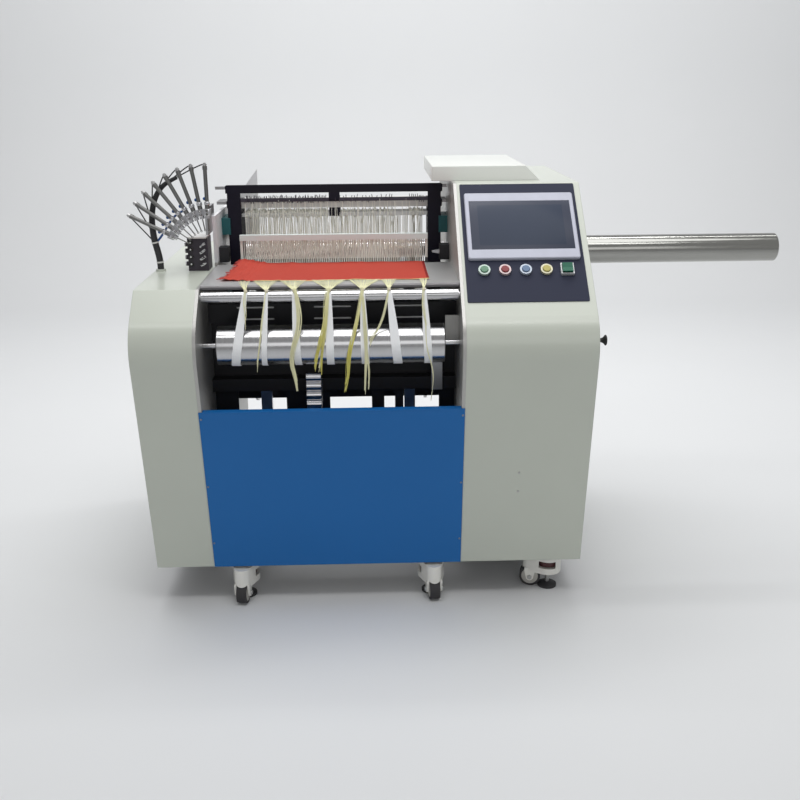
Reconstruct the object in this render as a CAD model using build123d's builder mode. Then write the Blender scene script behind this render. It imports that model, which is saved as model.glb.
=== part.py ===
from build123d import *
from math import acos, atan2, cos, degrees, hypot, radians, sin, tan
import os

# Automatic sample loom. Lengths in millimetres. While it is drawn, X runs to the right from the
# middle of the weaving width, Y runs back from the foot of the front panel, Z runs up from the floor.

# Cabinets and side plates
wall_gap = 620
left_width = 155
right_width = 320
plate_thickness = 8
sheet = 2
bottom_height = 105
nose_out = 115
nose_height = 730
nose_radius = 110
console_lean_deg = 47
left_rise = 102
right_rise = 320
rear_depth = 760
raised_front = 310
raised_rear = 560
raised_height = 133
gusset_reach = 88
gusset_low_rise = 38
gusset_shoulder_rise = 110
gusset_tip_rise = 233
gusset_thickness = 4
journal_fit = 0.05
seat_gap = 0.3
overrun = 5

# Base frame on six feet
rail_height = 40
rail_width = 60
rail_front = 20
rail_inset = 5
tie_width = 40
tie_shares = (-0.92, -0.56, 0.56, 0.98)
foot_x = 244
outer_foot_x = 557
foot_y = 48
outer_foot_y = 62
pad_radius = 25
pad_height = 12
stem_radius = 6
thumb_radius = 27
thumb_low = 64
thumb_height = 16
thumb_gap = 1.5
body_radius = 35
body_low = 46
body_high = 98
body_window = 44
stem_gap = 0.5
wheel_radius = 28
wheel_width = 26
wheel_lift = 1
wheel_gap = 2
trail = 46
cheek_thickness = 6
cheek_gap = 1.5
axle_radius = 4
axle_boss = 10
caster_turns = (-96, -84, 168)

# Blue front panel
panel_drop = 143
panel_flange = 22
panel_fit = 0.3

# Top housing behind the console
housing_left = 260
housing_right = 600
housing_front = 300
housing_rear = 700
housing_height = 38
housing_chamfer = 38

# Breast plate with its rolled lip, and the rollers in front of it
table_rise = 4
table_thickness = 3
table_rear = 308
lip_radius = 5.5
lip_y = 14
roller_y = 0
take_up_drop = 37
take_up_radius = 48.5
take_up_half = 273
breast_drop = 25
breast_radius = 13.5
journal_radius = 7
journal_overhang = 12
roller_end_gap = 4
motor_radius = 62
motor_length = 190
motor_flange = 14
motor_flange_radius = 78
bracket_width = 33
bracket_y = 26
bracket_depth = 8
bracket_low_drop = 3
bracket_height = 64

# Black cross beams and the ribbed drag strip
beam_y = 100
beam_drop = 115
beam_height = 32
beam_depth = 40
slot_bar_drop = 38
slot_bar_height = 49
slot_bar_depth = 14
slot_length = 96
slot_height = 5
slot_row_share = 0.3
slot_shares = (-0.62, 0, 0.62)
strip_width = 36
strip_thickness = 3
strip_x = -48
strip_y = 22
strip_drop = 173
strip_ribs = 4
strip_rib_height = 24
strip_bulge = 7
shield_rise = 137
shield_drop = 80
shield_window_drop = 8
shield_window_height = 64
shield_window_shares = ((-0.61, 0.40), (0.13, 0.35), (0.455, 0.09), (0.72, 0.30))
post_x = 261
post_width = 28
post_depth = 10
post_height = 99

# Sley and reed
sley_pivot_y = 340
sley_pivot_z = 300
sley_shaft_radius = 15
sword_x = 200
sword_width = 30
sword_depth = 22
batten_half = 256
batten_front = 316
batten_rear = 352
batten_drop = 8
batten_height = 56
groove_depth = 20
groove_fit = 0.2
reed_half = 250
reed_front = 321
reed_depth = 10
reed_wall = 4
reed_open = 61
reed_cap = 15
reed_cap_overhang = 3
reed_foot = 8
reed_end = 6
reed_gaps = 100
dent_share = 0.4

# Heald frames, their guides and their lift cylinders
heald_frames = 6
heald_front = 425
heald_pitch = 15
heald_thickness = 8
heald_stroke = 42
heald_rise = 197
heald_height = 349
heald_rail = 22
heald_half = 292
heald_ear = 4
heald_ear_chamfer = 3
heald_post = 36
heald_rod_drop = 41
heald_lower_rod_rise = 42
lug_height = 8
lug_drop = 3
lug_left = 27
lug_right = 12
heald_rod_height = 10
heald_wire = 1.6
heald_wires = 24
heald_inner_thickness = 2.5
hook_width = 30
lift_rod_radius = 5
lift_pitch = 60
cylinder_radius = 13
cylinder_gap = 84
cylinder_length = 130
cylinder_floor = 12
heald_beam_height = 40
heald_beam_margin = 12
guide_height = 45
guide_drop = 133
lower_guide_rise = 6
guide_reach = 24
guide_bite = 8
guide_margin = 6
guide_slot_gap = 0.4

# Weft selector, a fan of eight fingers
fan_x = -316
fan_rise = 48
fan_y = 232
fingers = 8
finger_pitch_deg = 9.1
barrel_start = 114
barrel_end = 220
barrel_radius = 5
cap_radius = 6
cap_length = 9
finger_rod_radius = 1.5
finger_rod_inner = 57
finger_stroke = 18
finger_rod_bite = 33
eyelet_radius = 2.7
eyelet_bore = 1.4
eyelet_thickness = 2
fan_arc_inner = 97
fan_arc_outer = 113.7
fan_arc_thickness = 12
fan_arc_margin_deg = 5
fan_leg_thickness = 6
fan_leg_rise = 94
fan_leg_rear = 352
rod_hole_gap = 0.4

# Yarn tension block on the left cover
block_right = -324
block_width = 52
block_front = 246
block_depth = 62
block_height = 84
block_plate = 4
block_plate_reach = 6
block_knobs = 4
block_knob_radius = 6
block_knob_length = 9
block_ribs = 4
block_rib_height = 6
block_rib_depth = 5
block_rib_lean_deg = 35

# Air hose from the left cover to the fan, as a chosen route
hose_radius = 8.5
hose_bend_share = 0.45
gland_radius = 13
gland_height = 6
gland_taper_deg = 5
hose_route = (
    (-449, 250, 0),
    (-449, 250, 19),
    (-453, 250, 44),
    (-460, 250, 74),
    (-463, 250, 109),
    (-461, 250, 144),
    (-453, 250, 176),
    (-438, 250, 203),
    (-416, 250, 222),
    (-391, 250, 233),
)

# Rapier, its guide and its tube
rapier_y = 360
rapier_rise = 21
rapier_width = 12
rapier_height = 14
rapier_tip = 264
rapier_stroke = 520
rapier_nose = 26
rapier_nose_height = 5
rapier_fit = 0.4
shoe_length = 15
shoe_fit = 0.5
shoe_stop = 10
shoe_rest = 18
tube_radius = 38
tube_wall = 2.5
tube_cap = 6
tube_edge = 5
tube_flange_radius = 50
tube_flange = 5
wall_hole_radius = 14
guide_block_left = 284
guide_block_depth = 34
guide_block_height = 40

# Warp side at the back
beam_axis_y = 650
beam_axis_z = 480
warp_beam_half = 262
warp_flange_radius = 125
warp_flange = 8
warp_pack_radius = 88
warp_journal_radius = 15
rest_y = 700
rest_radius = 25
warp_half = 245
warp_thickness = 1.2
warp_front = 520

# Cloth, yarn bundles and leader tapes
cloth_half = 240
cloth_front = 60
cloth_rear = 315
cloth_thickness = 1.4
cloth_corner_reach = 28
cloth_corner_back = 70
tape_width = 23
tape_thickness = 1
tape_wrap_deg = 58
tape_tail = 24
fan_fold_y = 22
tape_shares = (-0.90, -0.655, -0.345, -0.01, 0.33, 0.62, 0.945)
bundle_shares = (0.06, 0.115, 0.13, 0.165, 0.155, 0.085, 0.055)

# Operator console
console_plate_width = 290
console_plate_length = 364
console_plate_low = 100
console_plate_thickness = 2
console_plate_radius = 4
screen_width = 272
screen_length = 206
screen_low = 222
screen_depth = 9
screen_radius = 6
glass_width = 252
glass_length = 152
glass_recess = 1
button_low = 191
button_pitch = 50
ring_radius = 14.5
ring_height = 7
button_radius = 9.5
button_gap = 0.4
button_float = 4.5
button_height = 5.5
button_edge = 1.2
switch_side = 32
switch_window = 26
switch_height = 8
rocker_radius = 12.4
rocker_axis_height = 13.4
rocker_crown = 0.6
rocker_notch = 2.2

# Side knob on the right wall
knob_inset = 53
knob_drop = 22
knob_stem_radius = 7
knob_stem = 10
knob_radius = 19
knob_length = 15
knob_edge = 5

# Places that follow from the sizes above
half_gap = wall_gap / 2
plate_outer = half_gap + plate_thickness
left_end = half_gap + left_width
right_end = half_gap + right_width
lean = radians(console_lean_deg)
left_top = nose_height + left_rise
right_top = nose_height + right_rise
table_top = left_top + table_rise
take_up_z = nose_height - take_up_drop
breast_z = table_top - breast_drop
panel_top = take_up_z - panel_drop
beam_high = take_up_z - beam_drop
beam_low = beam_high - beam_height
slot_bar_high = breast_z - slot_bar_drop
strip_low = take_up_z - strip_drop
batten_high = table_top - batten_drop
batten_low = batten_high - batten_height
reed_foot_high = batten_high + reed_foot
reed_cap_low = table_top + reed_open
reed_cap_high = reed_cap_low + reed_cap
heald_top = table_top + heald_rise
heald_low = heald_top - heald_height
heald_rod_z = heald_top - heald_rod_drop
heald_lower_rod_z = heald_low + heald_lower_rod_rise
cylinder_high = heald_low - cylinder_gap
cylinder_low = cylinder_high - cylinder_length
guide_low = heald_top - guide_drop
lower_guide_low = heald_low + lower_guide_rise
fan_z = left_top + fan_rise
fan_leg_low = left_top + fan_leg_rise
hose_points = [(x, y, left_top + gland_height + rise) for x, y, rise in hose_route]
rapier_z = table_top + rapier_rise
rest_z = table_top - rest_radius
knob_y = knob_inset - nose_out
knob_z = nose_height - knob_drop
rail_rear = rear_depth - rail_front - rail_width
heald_depth = (heald_frames - 1) * heald_pitch + heald_thickness
heald_window = heald_half - heald_post
batten_width = batten_rear - batten_front
fan_sweep_deg = (fingers - 1) * finger_pitch_deg
pack_gap = seat_gap + warp_thickness / 2
tape_gap = seat_gap + tape_thickness / 2
finger_rod_outer = barrel_start + finger_rod_bite + finger_stroke
rapier_end = right_end + tube_flange + shoe_stop + shoe_length + rapier_stroke
tube_length = rapier_end + shoe_rest + tube_cap - right_end
console_plane = Plane(
    origin=(half_gap + right_width / 2, -nose_out, nose_height),
    x_dir=(1, 0, 0),
    z_dir=(0, -cos(lean), sin(lean)),
)
console_face = console_plane.offset(console_plate_thickness)
finished = {}


def finish(builder, name):
    builder.part.label = name
    finished[name] = builder


def slope_y(height):
    return (height - nose_height) * tan(lean) - nose_out


def front_y(height):
    return -nose_out * (height - bottom_height) / (nose_height - bottom_height)


def facing(y):
    # A sketch plane that faces the operator: local x is X, local y is Z, extruding goes back.
    return Plane(origin=(0, y, 0), x_dir=(1, 0, 0), z_dir=(0, -1, 0))


def across(x):
    # A sketch plane across the machine: local x is Y, local y is Z, extruding goes right.
    return Plane.YZ.offset(x)


def cabinet_outline(top_height):
    with BuildLine() as outline:
        Polyline(
            (front_y(bottom_height), bottom_height),
            (-nose_out, nose_height),
            (slope_y(top_height), top_height),
            (rear_depth, top_height),
            (rear_depth, bottom_height),
            close=True,
        )
    side_face = make_face(outline.edges())
    fillet(side_face.vertices().sort_by(Axis.X)[0], nose_radius)


def bore(y, z, radius):
    with Locations((y, z)):
        Circle(radius, mode=Mode.SUBTRACT)


def shared_bores():
    bore(roller_y, take_up_z, journal_radius + journal_fit)
    bore(roller_y, breast_z, journal_radius + journal_fit)
    bore(sley_pivot_y, sley_pivot_z, sley_shaft_radius + journal_fit)
    bore(beam_axis_y, beam_axis_z, warp_journal_radius + journal_fit)
    bore(rest_y, rest_z, journal_radius + journal_fit)


def rail_notches():
    for rail_start in (rail_front, rail_rear):
        with Locations((rail_start + rail_width / 2, bottom_height + rail_height / 2)):
            Rectangle(rail_width, rail_height, mode=Mode.SUBTRACT)


def turned(y, z, steps):
    # A stepped round bar along X, from (start, end, radius) of each step.
    for start, end, radius in steps:
        with BuildSketch(across(start)) as section:
            with Locations((y, z)):
                Circle(radius)
        extrude(section.sketch, amount=end - start)


# Side plates, which carry every shaft
with BuildPart() as left_side_plate:
    with BuildSketch(across(-plate_outer)):
        cabinet_outline(left_top)
        raised_depth = raised_rear - raised_front
        with Locations((raised_front + raised_depth / 2, left_top + raised_height / 2)):
            Rectangle(raised_depth, raised_height)
        shared_bores()
        rail_notches()
    extrude(amount=plate_thickness)
    with BuildSketch(facing(raised_rear - gusset_thickness)):
        with BuildLine():
            Polyline(
                (-plate_outer, left_top + gusset_low_rise),
                (-half_gap + gusset_reach, left_top + gusset_low_rise),
                (-half_gap + gusset_reach, left_top + gusset_tip_rise),
                (-plate_outer, left_top + gusset_shoulder_rise),
                close=True,
            )
        make_face()
    extrude(amount=-gusset_thickness)
finish(left_side_plate, "left_side_plate")

with BuildPart() as right_side_plate:
    with BuildSketch(across(half_gap)):
        cabinet_outline(right_top)
        shared_bores()
        rail_notches()
        bore(rapier_y, rapier_z, wall_hole_radius)
    extrude(amount=plate_thickness)
    with BuildSketch(across(half_gap - bracket_width)):
        bracket_middle = take_up_z - bracket_low_drop + bracket_height / 2
        with Locations((bracket_y + bracket_depth / 2, bracket_middle)):
            Rectangle(bracket_depth, bracket_height)
    extrude(amount=bracket_width)
finish(right_side_plate, "right_side_plate")

# Folded sheet covers of the two cabinets
with BuildPart() as left_cover:
    with BuildSketch(across(-left_end)):
        cabinet_outline(left_top)
    extrude(amount=left_width - plate_thickness)
    open_faces = left_cover.faces().sort_by(Axis.X)[-1:] + left_cover.faces().sort_by(Axis.Z)[:1]
    offset(amount=-sheet, openings=open_faces)
    with BuildSketch(Plane.XY.offset(left_top)):
        with Locations(hose_points[0][:2]):
            Circle(gland_radius)
    extrude(amount=gland_height, taper=gland_taper_deg)
finish(left_cover, "left_cover")

with BuildPart() as right_cover:
    with BuildSketch(across(plate_outer)):
        cabinet_outline(right_top)
    extrude(amount=right_width - plate_thickness)
    open_faces = right_cover.faces().sort_by(Axis.X)[:1] + right_cover.faces().sort_by(Axis.Z)[:1]
    offset(amount=-sheet, openings=open_faces)
    with BuildSketch(across(right_end)):
        with Locations((rapier_y, rapier_z)):
            Circle(wall_hole_radius)
    extrude(amount=-sheet - overrun, mode=Mode.SUBTRACT)
finish(right_cover, "right_cover")

with BuildPart() as top_housing:
    with BuildSketch(facing(housing_front)):
        with BuildLine():
            Polyline(
                (housing_left, right_top),
                (housing_right, right_top),
                (housing_right - housing_chamfer, right_top + housing_height),
                (housing_left, right_top + housing_height),
                close=True,
            )
        make_face()
    extrude(amount=-(housing_rear - housing_front))
    offset(amount=-sheet, openings=top_housing.faces().sort_by(Axis.Z)[:1])
finish(top_housing, "top_housing")

# Welded base and the six levelling feet under it
with BuildPart() as base_frame:
    base_length = left_end + right_end - 2 * rail_inset
    base_middle = (right_end - left_end) / 2
    with BuildSketch(Plane.XY.offset(bottom_height)):
        for rail_start in (rail_front, rail_rear):
            with Locations((base_middle, rail_start + rail_width / 2)):
                Rectangle(base_length, rail_width)
        tie_length = rail_rear - rail_front
        for tie_share in tie_shares:
            with Locations((base_middle + tie_share * (base_length - tie_width) / 2, rear_depth / 2)):
                Rectangle(tie_width, tie_length)
    extrude(amount=rail_height)
finish(base_frame, "base_frame")

front_feet = ((-foot_x, foot_y), (foot_x, foot_y), (outer_foot_x, outer_foot_y))
rear_feet = tuple((x, rear_depth - y) for x, y in front_feet)

with BuildPart() as levelling_feet:
    for x, y in front_feet + rear_feet:
        with BuildSketch(Plane(origin=(x, y, 0), x_dir=(1, 0, 0), z_dir=(0, -1, 0))):
            with BuildLine():
                Polyline(
                    (0, 0),
                    (pad_radius, 0),
                    (pad_radius, pad_height / 2),
                    (stem_radius, pad_height),
                    (stem_radius, thumb_low),
                    (thumb_radius, thumb_low),
                    (thumb_radius, thumb_low + thumb_height),
                    (stem_radius, thumb_low + thumb_height),
                    (stem_radius, bottom_height),
                    (0, bottom_height),
                    close=True,
                )
            make_face()
        revolve(axis=Axis((x, y, 0), (0, 0, 1)))
finish(levelling_feet, "levelling_feet")

axle_z = wheel_radius + wheel_lift
cheek_inner = wheel_width / 2 + cheek_gap
cheek_outer = cheek_inner + cheek_thickness


def caster_plane(x, y, turn):
    # Local x points along the trail of the wheel, local y points up.
    away = (sin(radians(turn)), -cos(radians(turn)), 0)
    return Plane(origin=(x, y, 0), x_dir=(cos(radians(turn)), sin(radians(turn)), 0), z_dir=away)


def caster_fork(x, y, turn):
    # A cast body round the stem, open at the thumbwheel, with two cheeks that hold the wheel
    upright = caster_plane(x, y, turn)
    level = Plane(origin=(x, y, 0), x_dir=upright.x_dir, z_dir=(0, 0, 1))
    with BuildSketch(level.offset(body_low)) as body:
        Circle(body_radius)
        with Locations((trail, 0)):
            Circle(cheek_outer)
        make_hull()
    extrude(body.sketch, amount=body_high - body_low)
    for side in (-1, 1):
        with BuildSketch(upright.offset(side * (cheek_inner + cheek_thickness / 2))) as cheek:
            with Locations((trail, axle_z)):
                Circle(axle_boss)
            with Locations((trail, body_low + axle_boss / 2)):
                Rectangle(wheel_radius, axle_boss)
            make_hull()
        extrude(cheek.sketch, amount=cheek_thickness / 2, both=True)
    with BuildSketch(upright) as wheel_slot:
        with Locations((trail, axle_z)):
            Circle(wheel_radius + wheel_gap)
    extrude(wheel_slot.sketch, amount=cheek_inner, both=True, mode=Mode.SUBTRACT)
    with BuildSketch(level.offset(thumb_low - thumb_gap)) as thumb_space:
        Circle(thumb_radius + thumb_gap)
        Rectangle(body_window, 2 * body_radius)
    extrude(thumb_space.sketch, amount=thumb_height + 2 * thumb_gap, mode=Mode.SUBTRACT)
    with BuildSketch(level.offset(body_low)) as stem_hole:
        Circle(stem_radius + stem_gap)
    extrude(stem_hole.sketch, amount=body_high - body_low, mode=Mode.SUBTRACT)
    with BuildSketch(upright) as axle:
        with Locations((trail, axle_z)):
            Circle(axle_radius)
    extrude(axle.sketch, amount=cheek_outer, both=True)


def caster_wheel(x, y, turn, bore_gap):
    with BuildSketch(caster_plane(x, y, turn)) as section:
        with Locations((trail, axle_z)):
            Circle(wheel_radius)
            Circle(axle_radius + bore_gap, mode=Mode.SUBTRACT)
    extrude(section.sketch, amount=wheel_width / 2, both=True)


for number, ((x, y), turn) in enumerate(zip(front_feet, caster_turns), 1):
    with BuildPart() as fork:
        caster_fork(x, y, turn)
    finish(fork, f"caster_fork_{number}")
    with BuildPart() as wheel:
        caster_wheel(x, y, turn, journal_fit)
    finish(wheel, f"caster_wheel_{number}")

with BuildPart() as rear_casters:
    for (x, y), turn in zip(rear_feet, caster_turns):
        caster_fork(x, y, -turn)
        caster_wheel(x, y, -turn, 0)
finish(rear_casters, "rear_casters")

# Front panel, a sheet on the edges of the side plates, with its top folded back between them
with BuildPart() as front_panel:
    with BuildSketch(across(panel_fit - plate_outer)):
        with BuildLine():
            Polyline(
                (front_y(bottom_height), bottom_height),
                (front_y(panel_top), panel_top),
                (front_y(panel_top) - sheet, panel_top),
                (front_y(bottom_height) - sheet, bottom_height),
                close=True,
            )
        make_face()
    extrude(amount=2 * (plate_outer - panel_fit))
    with BuildSketch(across(panel_fit - half_gap)):
        with Locations((front_y(panel_top) + panel_flange / 2 - sheet, panel_top - sheet / 2)):
            Rectangle(panel_flange, sheet)
    extrude(amount=wall_gap - 2 * panel_fit)
finish(front_panel, "front_panel")

# Breast plate and the rollers that lead the cloth down
with BuildPart() as breast_plate:
    with BuildSketch(across(-half_gap)):
        with Locations(((lip_y + table_rear) / 2, table_top - table_thickness / 2)):
            Rectangle(table_rear - lip_y, table_thickness)
        with Locations((lip_y, table_top - lip_radius)):
            Circle(lip_radius)
    extrude(amount=wall_gap)
finish(breast_plate, "breast_plate")

shaft_end = plate_outer + journal_overhang

with BuildPart() as take_up_roller:
    turned(roller_y, take_up_z, ((-shaft_end, shaft_end, journal_radius),
                                 (-take_up_half, take_up_half, take_up_radius)))
    chamfer(take_up_roller.edges().filter_by(GeomType.CIRCLE).group_by(SortBy.RADIUS)[-1], sheet)
finish(take_up_roller, "take_up_roller")

with BuildPart() as take_up_motor:
    turned(roller_y, take_up_z, (
        (plate_outer, plate_outer + motor_flange, motor_flange_radius),
        (plate_outer + motor_flange, plate_outer + motor_length, motor_radius),
    ))
    with BuildSketch(across(plate_outer)):
        with Locations((roller_y, take_up_z)):
            Circle(journal_radius + journal_fit)
    extrude(amount=journal_overhang + overrun, mode=Mode.SUBTRACT)
finish(take_up_motor, "take_up_motor")

with BuildPart() as breast_roller:
    breast_half = half_gap - roller_end_gap
    turned(roller_y, breast_z, ((-plate_outer, plate_outer, journal_radius),
                                (-breast_half, breast_half, breast_radius)))
finish(breast_roller, "breast_roller")

# Cross beams between the side plates
with BuildPart() as cross_beams:
    heald_beam_depth = heald_depth + 2 * heald_beam_margin
    heald_beam_y = heald_front + heald_depth / 2
    with BuildSketch(across(-half_gap)):
        with Locations((beam_y + beam_depth / 2, (beam_low + beam_high) / 2)):
            Rectangle(beam_depth, beam_high - beam_low)
        with Locations((beam_y + slot_bar_depth / 2, slot_bar_high - slot_bar_height / 2)):
            Rectangle(slot_bar_depth, slot_bar_height)
        shield_high = beam_high + shield_rise
        shield_low = beam_low - shield_drop
        with Locations((beam_y + beam_depth + sheet / 2, (shield_low + shield_high) / 2)):
            Rectangle(sheet, shield_high - shield_low)
        with Locations((heald_beam_y, cylinder_low - heald_beam_height / 2)):
            Rectangle(heald_beam_depth, heald_beam_height)
    extrude(amount=wall_gap)
    slot_bar_middle = slot_bar_high - slot_bar_height / 2
    with BuildSketch(facing(beam_y)):
        for row in (-1, 1):
            for slot_share in slot_shares:
                slot_z = slot_bar_middle + row * slot_row_share * slot_bar_height
                with Locations((slot_share * half_gap, slot_z)):
                    SlotOverall(slot_length, slot_height)
    extrude(amount=-slot_bar_depth, mode=Mode.SUBTRACT)
    window_z = beam_low - shield_window_drop - shield_window_height / 2
    with BuildSketch(facing(beam_y + beam_depth)):
        for middle_share, width_share in shield_window_shares:
            with Locations((middle_share * half_gap, window_z)):
                Rectangle(width_share * half_gap, shield_window_height)
    extrude(amount=-sheet, mode=Mode.SUBTRACT)
    with BuildSketch(facing(beam_y - post_depth)):
        with Locations((post_x, beam_low + post_height / 2)):
            Rectangle(post_width, post_height)
    extrude(amount=-post_depth)
finish(cross_beams, "cross_beams")

with BuildPart() as drag_strip:
    strip_high = strip_low + strip_ribs * strip_rib_height
    with BuildSketch(across(strip_x - strip_width / 2)):
        with BuildLine():
            for side_y in (strip_y, strip_y + strip_thickness):
                for rib in range(strip_ribs):
                    rib_low = strip_low + rib * strip_rib_height
                    rib_high = rib_low + strip_rib_height
                    rib_middle = (side_y - strip_bulge, (rib_low + rib_high) / 2)
                    ThreePointArc((side_y, rib_low), rib_middle, (side_y, rib_high))
            for end_z in (strip_low, strip_high):
                Line((strip_y, end_z), (strip_y + strip_thickness, end_z))
        make_face()
        with Locations(((strip_y + beam_y) / 2, strip_low - strip_thickness / 2)):
            Rectangle(beam_y - strip_y, strip_thickness)
        upright_low = strip_low - strip_thickness
        with Locations((beam_y - strip_thickness / 2, (upright_low + beam_high) / 2)):
            Rectangle(strip_thickness, beam_high - upright_low)
    extrude(amount=strip_width)
finish(drag_strip, "drag_strip")

# Sley that rocks on a low shaft, with the reed standing in its groove
with BuildPart() as sley:
    turned(sley_pivot_y, sley_pivot_z, ((-plate_outer, plate_outer, sley_shaft_radius),))
    with BuildSketch(Plane.XY.offset(sley_pivot_z)):
        for side in (-1, 1):
            with Locations((side * sword_x, sley_pivot_y)):
                Rectangle(sword_width, sword_depth)
    extrude(amount=batten_low - sley_pivot_z)
    for side in (-1, 1):
        turned(sley_pivot_y, sley_pivot_z, (
            (side * sword_x - sword_width / 2, side * sword_x + sword_width / 2, 2 * sley_shaft_radius),
        ))
    with BuildSketch(across(-batten_half)):
        with Locations(((batten_front + batten_rear) / 2, (batten_low + batten_high) / 2)):
            Rectangle(batten_width, batten_high - batten_low)
        with Locations((reed_front + reed_depth / 2, batten_high - groove_depth / 2)):
            Rectangle(reed_depth + 2 * groove_fit, groove_depth, mode=Mode.SUBTRACT)
    extrude(amount=2 * batten_half)
finish(sley, "sley")

with BuildPart() as reed:
    reed_low = batten_high - groove_depth
    reed_middle = reed_front + reed_depth / 2
    with BuildSketch(across(-reed_half)):
        with Locations((reed_middle, (reed_low + reed_foot_high) / 2)):
            Rectangle(reed_depth, reed_foot_high - reed_low)
        with Locations((reed_middle, (reed_foot_high + reed_cap_high) / 2)):
            Rectangle(reed_wall, reed_cap_high - reed_foot_high)
        with Locations((reed_middle, (reed_cap_low + reed_cap_high) / 2)):
            Rectangle(reed_depth + 2 * reed_cap_overhang, reed_cap_high - reed_cap_low)
    extrude(amount=2 * reed_half)
    dent_pitch = 2 * (reed_half - reed_end) / reed_gaps
    with BuildSketch(facing(reed_middle - reed_wall / 2)):
        with Locations((0, (reed_foot_high + reed_cap_low) / 2)):
            with GridLocations(dent_pitch, reed_half, reed_gaps, 1):
                Rectangle(dent_pitch * (1 - dent_share), reed_cap_low - reed_foot_high)
    extrude(amount=-reed_wall, mode=Mode.SUBTRACT)
finish(reed, "reed")

# Heald frames: the front one is drawn up, the others rest low
for number in range(1, heald_frames + 1):
    drop = 0 if number == 1 else heald_stroke
    frame_y = heald_front + (number - 1) * heald_pitch
    inner_y = frame_y + (heald_thickness - heald_inner_thickness) / 2
    with BuildPart() as heald_frame:
        with BuildSketch(facing(frame_y)) as heald_outline:
            with Locations((0, (heald_low + heald_top) / 2 - drop)):
                Rectangle(2 * heald_half, heald_top - heald_low)
            with Locations((0, heald_top - heald_rail / 2 - drop)):
                Rectangle(2 * (heald_half + heald_ear), heald_rail)
            corners = heald_outline.vertices().group_by(Axis.Y)[-1]
            chamfer(corners, heald_ear_chamfer)
            lug_width = 2 * (heald_half + heald_ear) + lug_left + lug_right
            with Locations(((lug_right - lug_left) / 2, heald_top - lug_drop - lug_height / 2 - drop)):
                Rectangle(lug_width, lug_height)
            with Locations((0, (heald_low + heald_top) / 2 - drop)):
                window_height = heald_top - heald_low - 2 * heald_rail
                Rectangle(2 * heald_window, window_height, mode=Mode.SUBTRACT)
            with Locations((0, (heald_top + heald_rod_z - heald_rail) / 2 - drop)):
                Rectangle(hook_width, heald_top - heald_rail - heald_rod_z)
        extrude(amount=-heald_thickness)
        with BuildSketch(facing(inner_y)):
            for rod_z in (heald_rod_z, heald_lower_rod_z):
                with Locations((0, rod_z - drop)):
                    Rectangle(2 * heald_window + heald_post, heald_rod_height)
            wire_pitch = 2 * heald_window / (heald_wires + 1)
            wire_shift = wire_pitch * ((number - 1) / heald_frames - (heald_frames - 1) / heald_frames / 2)
            with Locations((wire_shift, (heald_rod_z + heald_lower_rod_z) / 2 - drop)):
                with GridLocations(wire_pitch, heald_post, heald_wires, 1):
                    Rectangle(heald_wire, heald_rod_z - heald_lower_rod_z)
        extrude(amount=-heald_inner_thickness)
        rod_x = (number - (heald_frames + 1) / 2) * lift_pitch
        rod_foot = cylinder_low + cylinder_floor + seat_gap + heald_stroke - drop
        with BuildSketch(Plane.XY.offset(rod_foot)):
            with Locations((rod_x, frame_y + heald_thickness / 2)):
                Circle(lift_rod_radius)
        extrude(amount=heald_low + heald_rail / 2 - drop - rod_foot)
    finish(heald_frame, f"heald_frame_{number}")

with BuildPart() as heald_cylinders:
    for number in range(1, heald_frames + 1):
        rod_x = (number - (heald_frames + 1) / 2) * lift_pitch
        rod_y = heald_front + (number - 1) * heald_pitch + heald_thickness / 2
        with BuildSketch(Plane.XY.offset(cylinder_low)):
            with Locations((rod_x, rod_y)):
                Circle(cylinder_radius)
        extrude(amount=cylinder_high - cylinder_low)
        with BuildSketch(Plane.XY.offset(cylinder_low + cylinder_floor)):
            with Locations((rod_x, rod_y)):
                Circle(lift_rod_radius + journal_fit)
        extrude(amount=cylinder_high - cylinder_low, mode=Mode.SUBTRACT)
finish(heald_cylinders, "heald_cylinders")

with BuildPart() as heald_guides:
    guide_depth = heald_depth + 2 * guide_margin
    guide_y = heald_front + heald_depth / 2
    slot_width = heald_thickness + 2 * guide_slot_gap
    for side in (-1, 1):
        for low in (guide_low, lower_guide_low):
            with BuildSketch(Plane.XY.offset(low)):
                with Locations((side * (half_gap - guide_reach / 2), guide_y)):
                    Rectangle(guide_reach, guide_depth)
                slot_middle = half_gap - guide_reach + guide_bite / 2
                with Locations((side * slot_middle, guide_y)):
                    with GridLocations(guide_reach, heald_pitch, 1, heald_frames):
                        Rectangle(guide_bite, slot_width, mode=Mode.SUBTRACT)
            extrude(amount=guide_height)
finish(heald_guides, "heald_guides")


# Weft selector: each finger lies on its own plane, local x outward along the finger
def finger_direction(number):
    angle = radians(90 + (number - 1) * finger_pitch_deg)
    return (cos(angle), 0, sin(angle))


def finger_plane(number, radius):
    # A sketch plane across a finger at that distance from the middle of the fan.
    along = finger_direction(number)
    origin = (fan_x + along[0] * radius, fan_y, fan_z + along[2] * radius)
    return Plane(origin=origin, x_dir=(0, 1, 0), z_dir=along)


fan_plane = Plane(origin=(fan_x, fan_y, fan_z), x_dir=(1, 0, 0), z_dir=(0, -1, 0))

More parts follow.
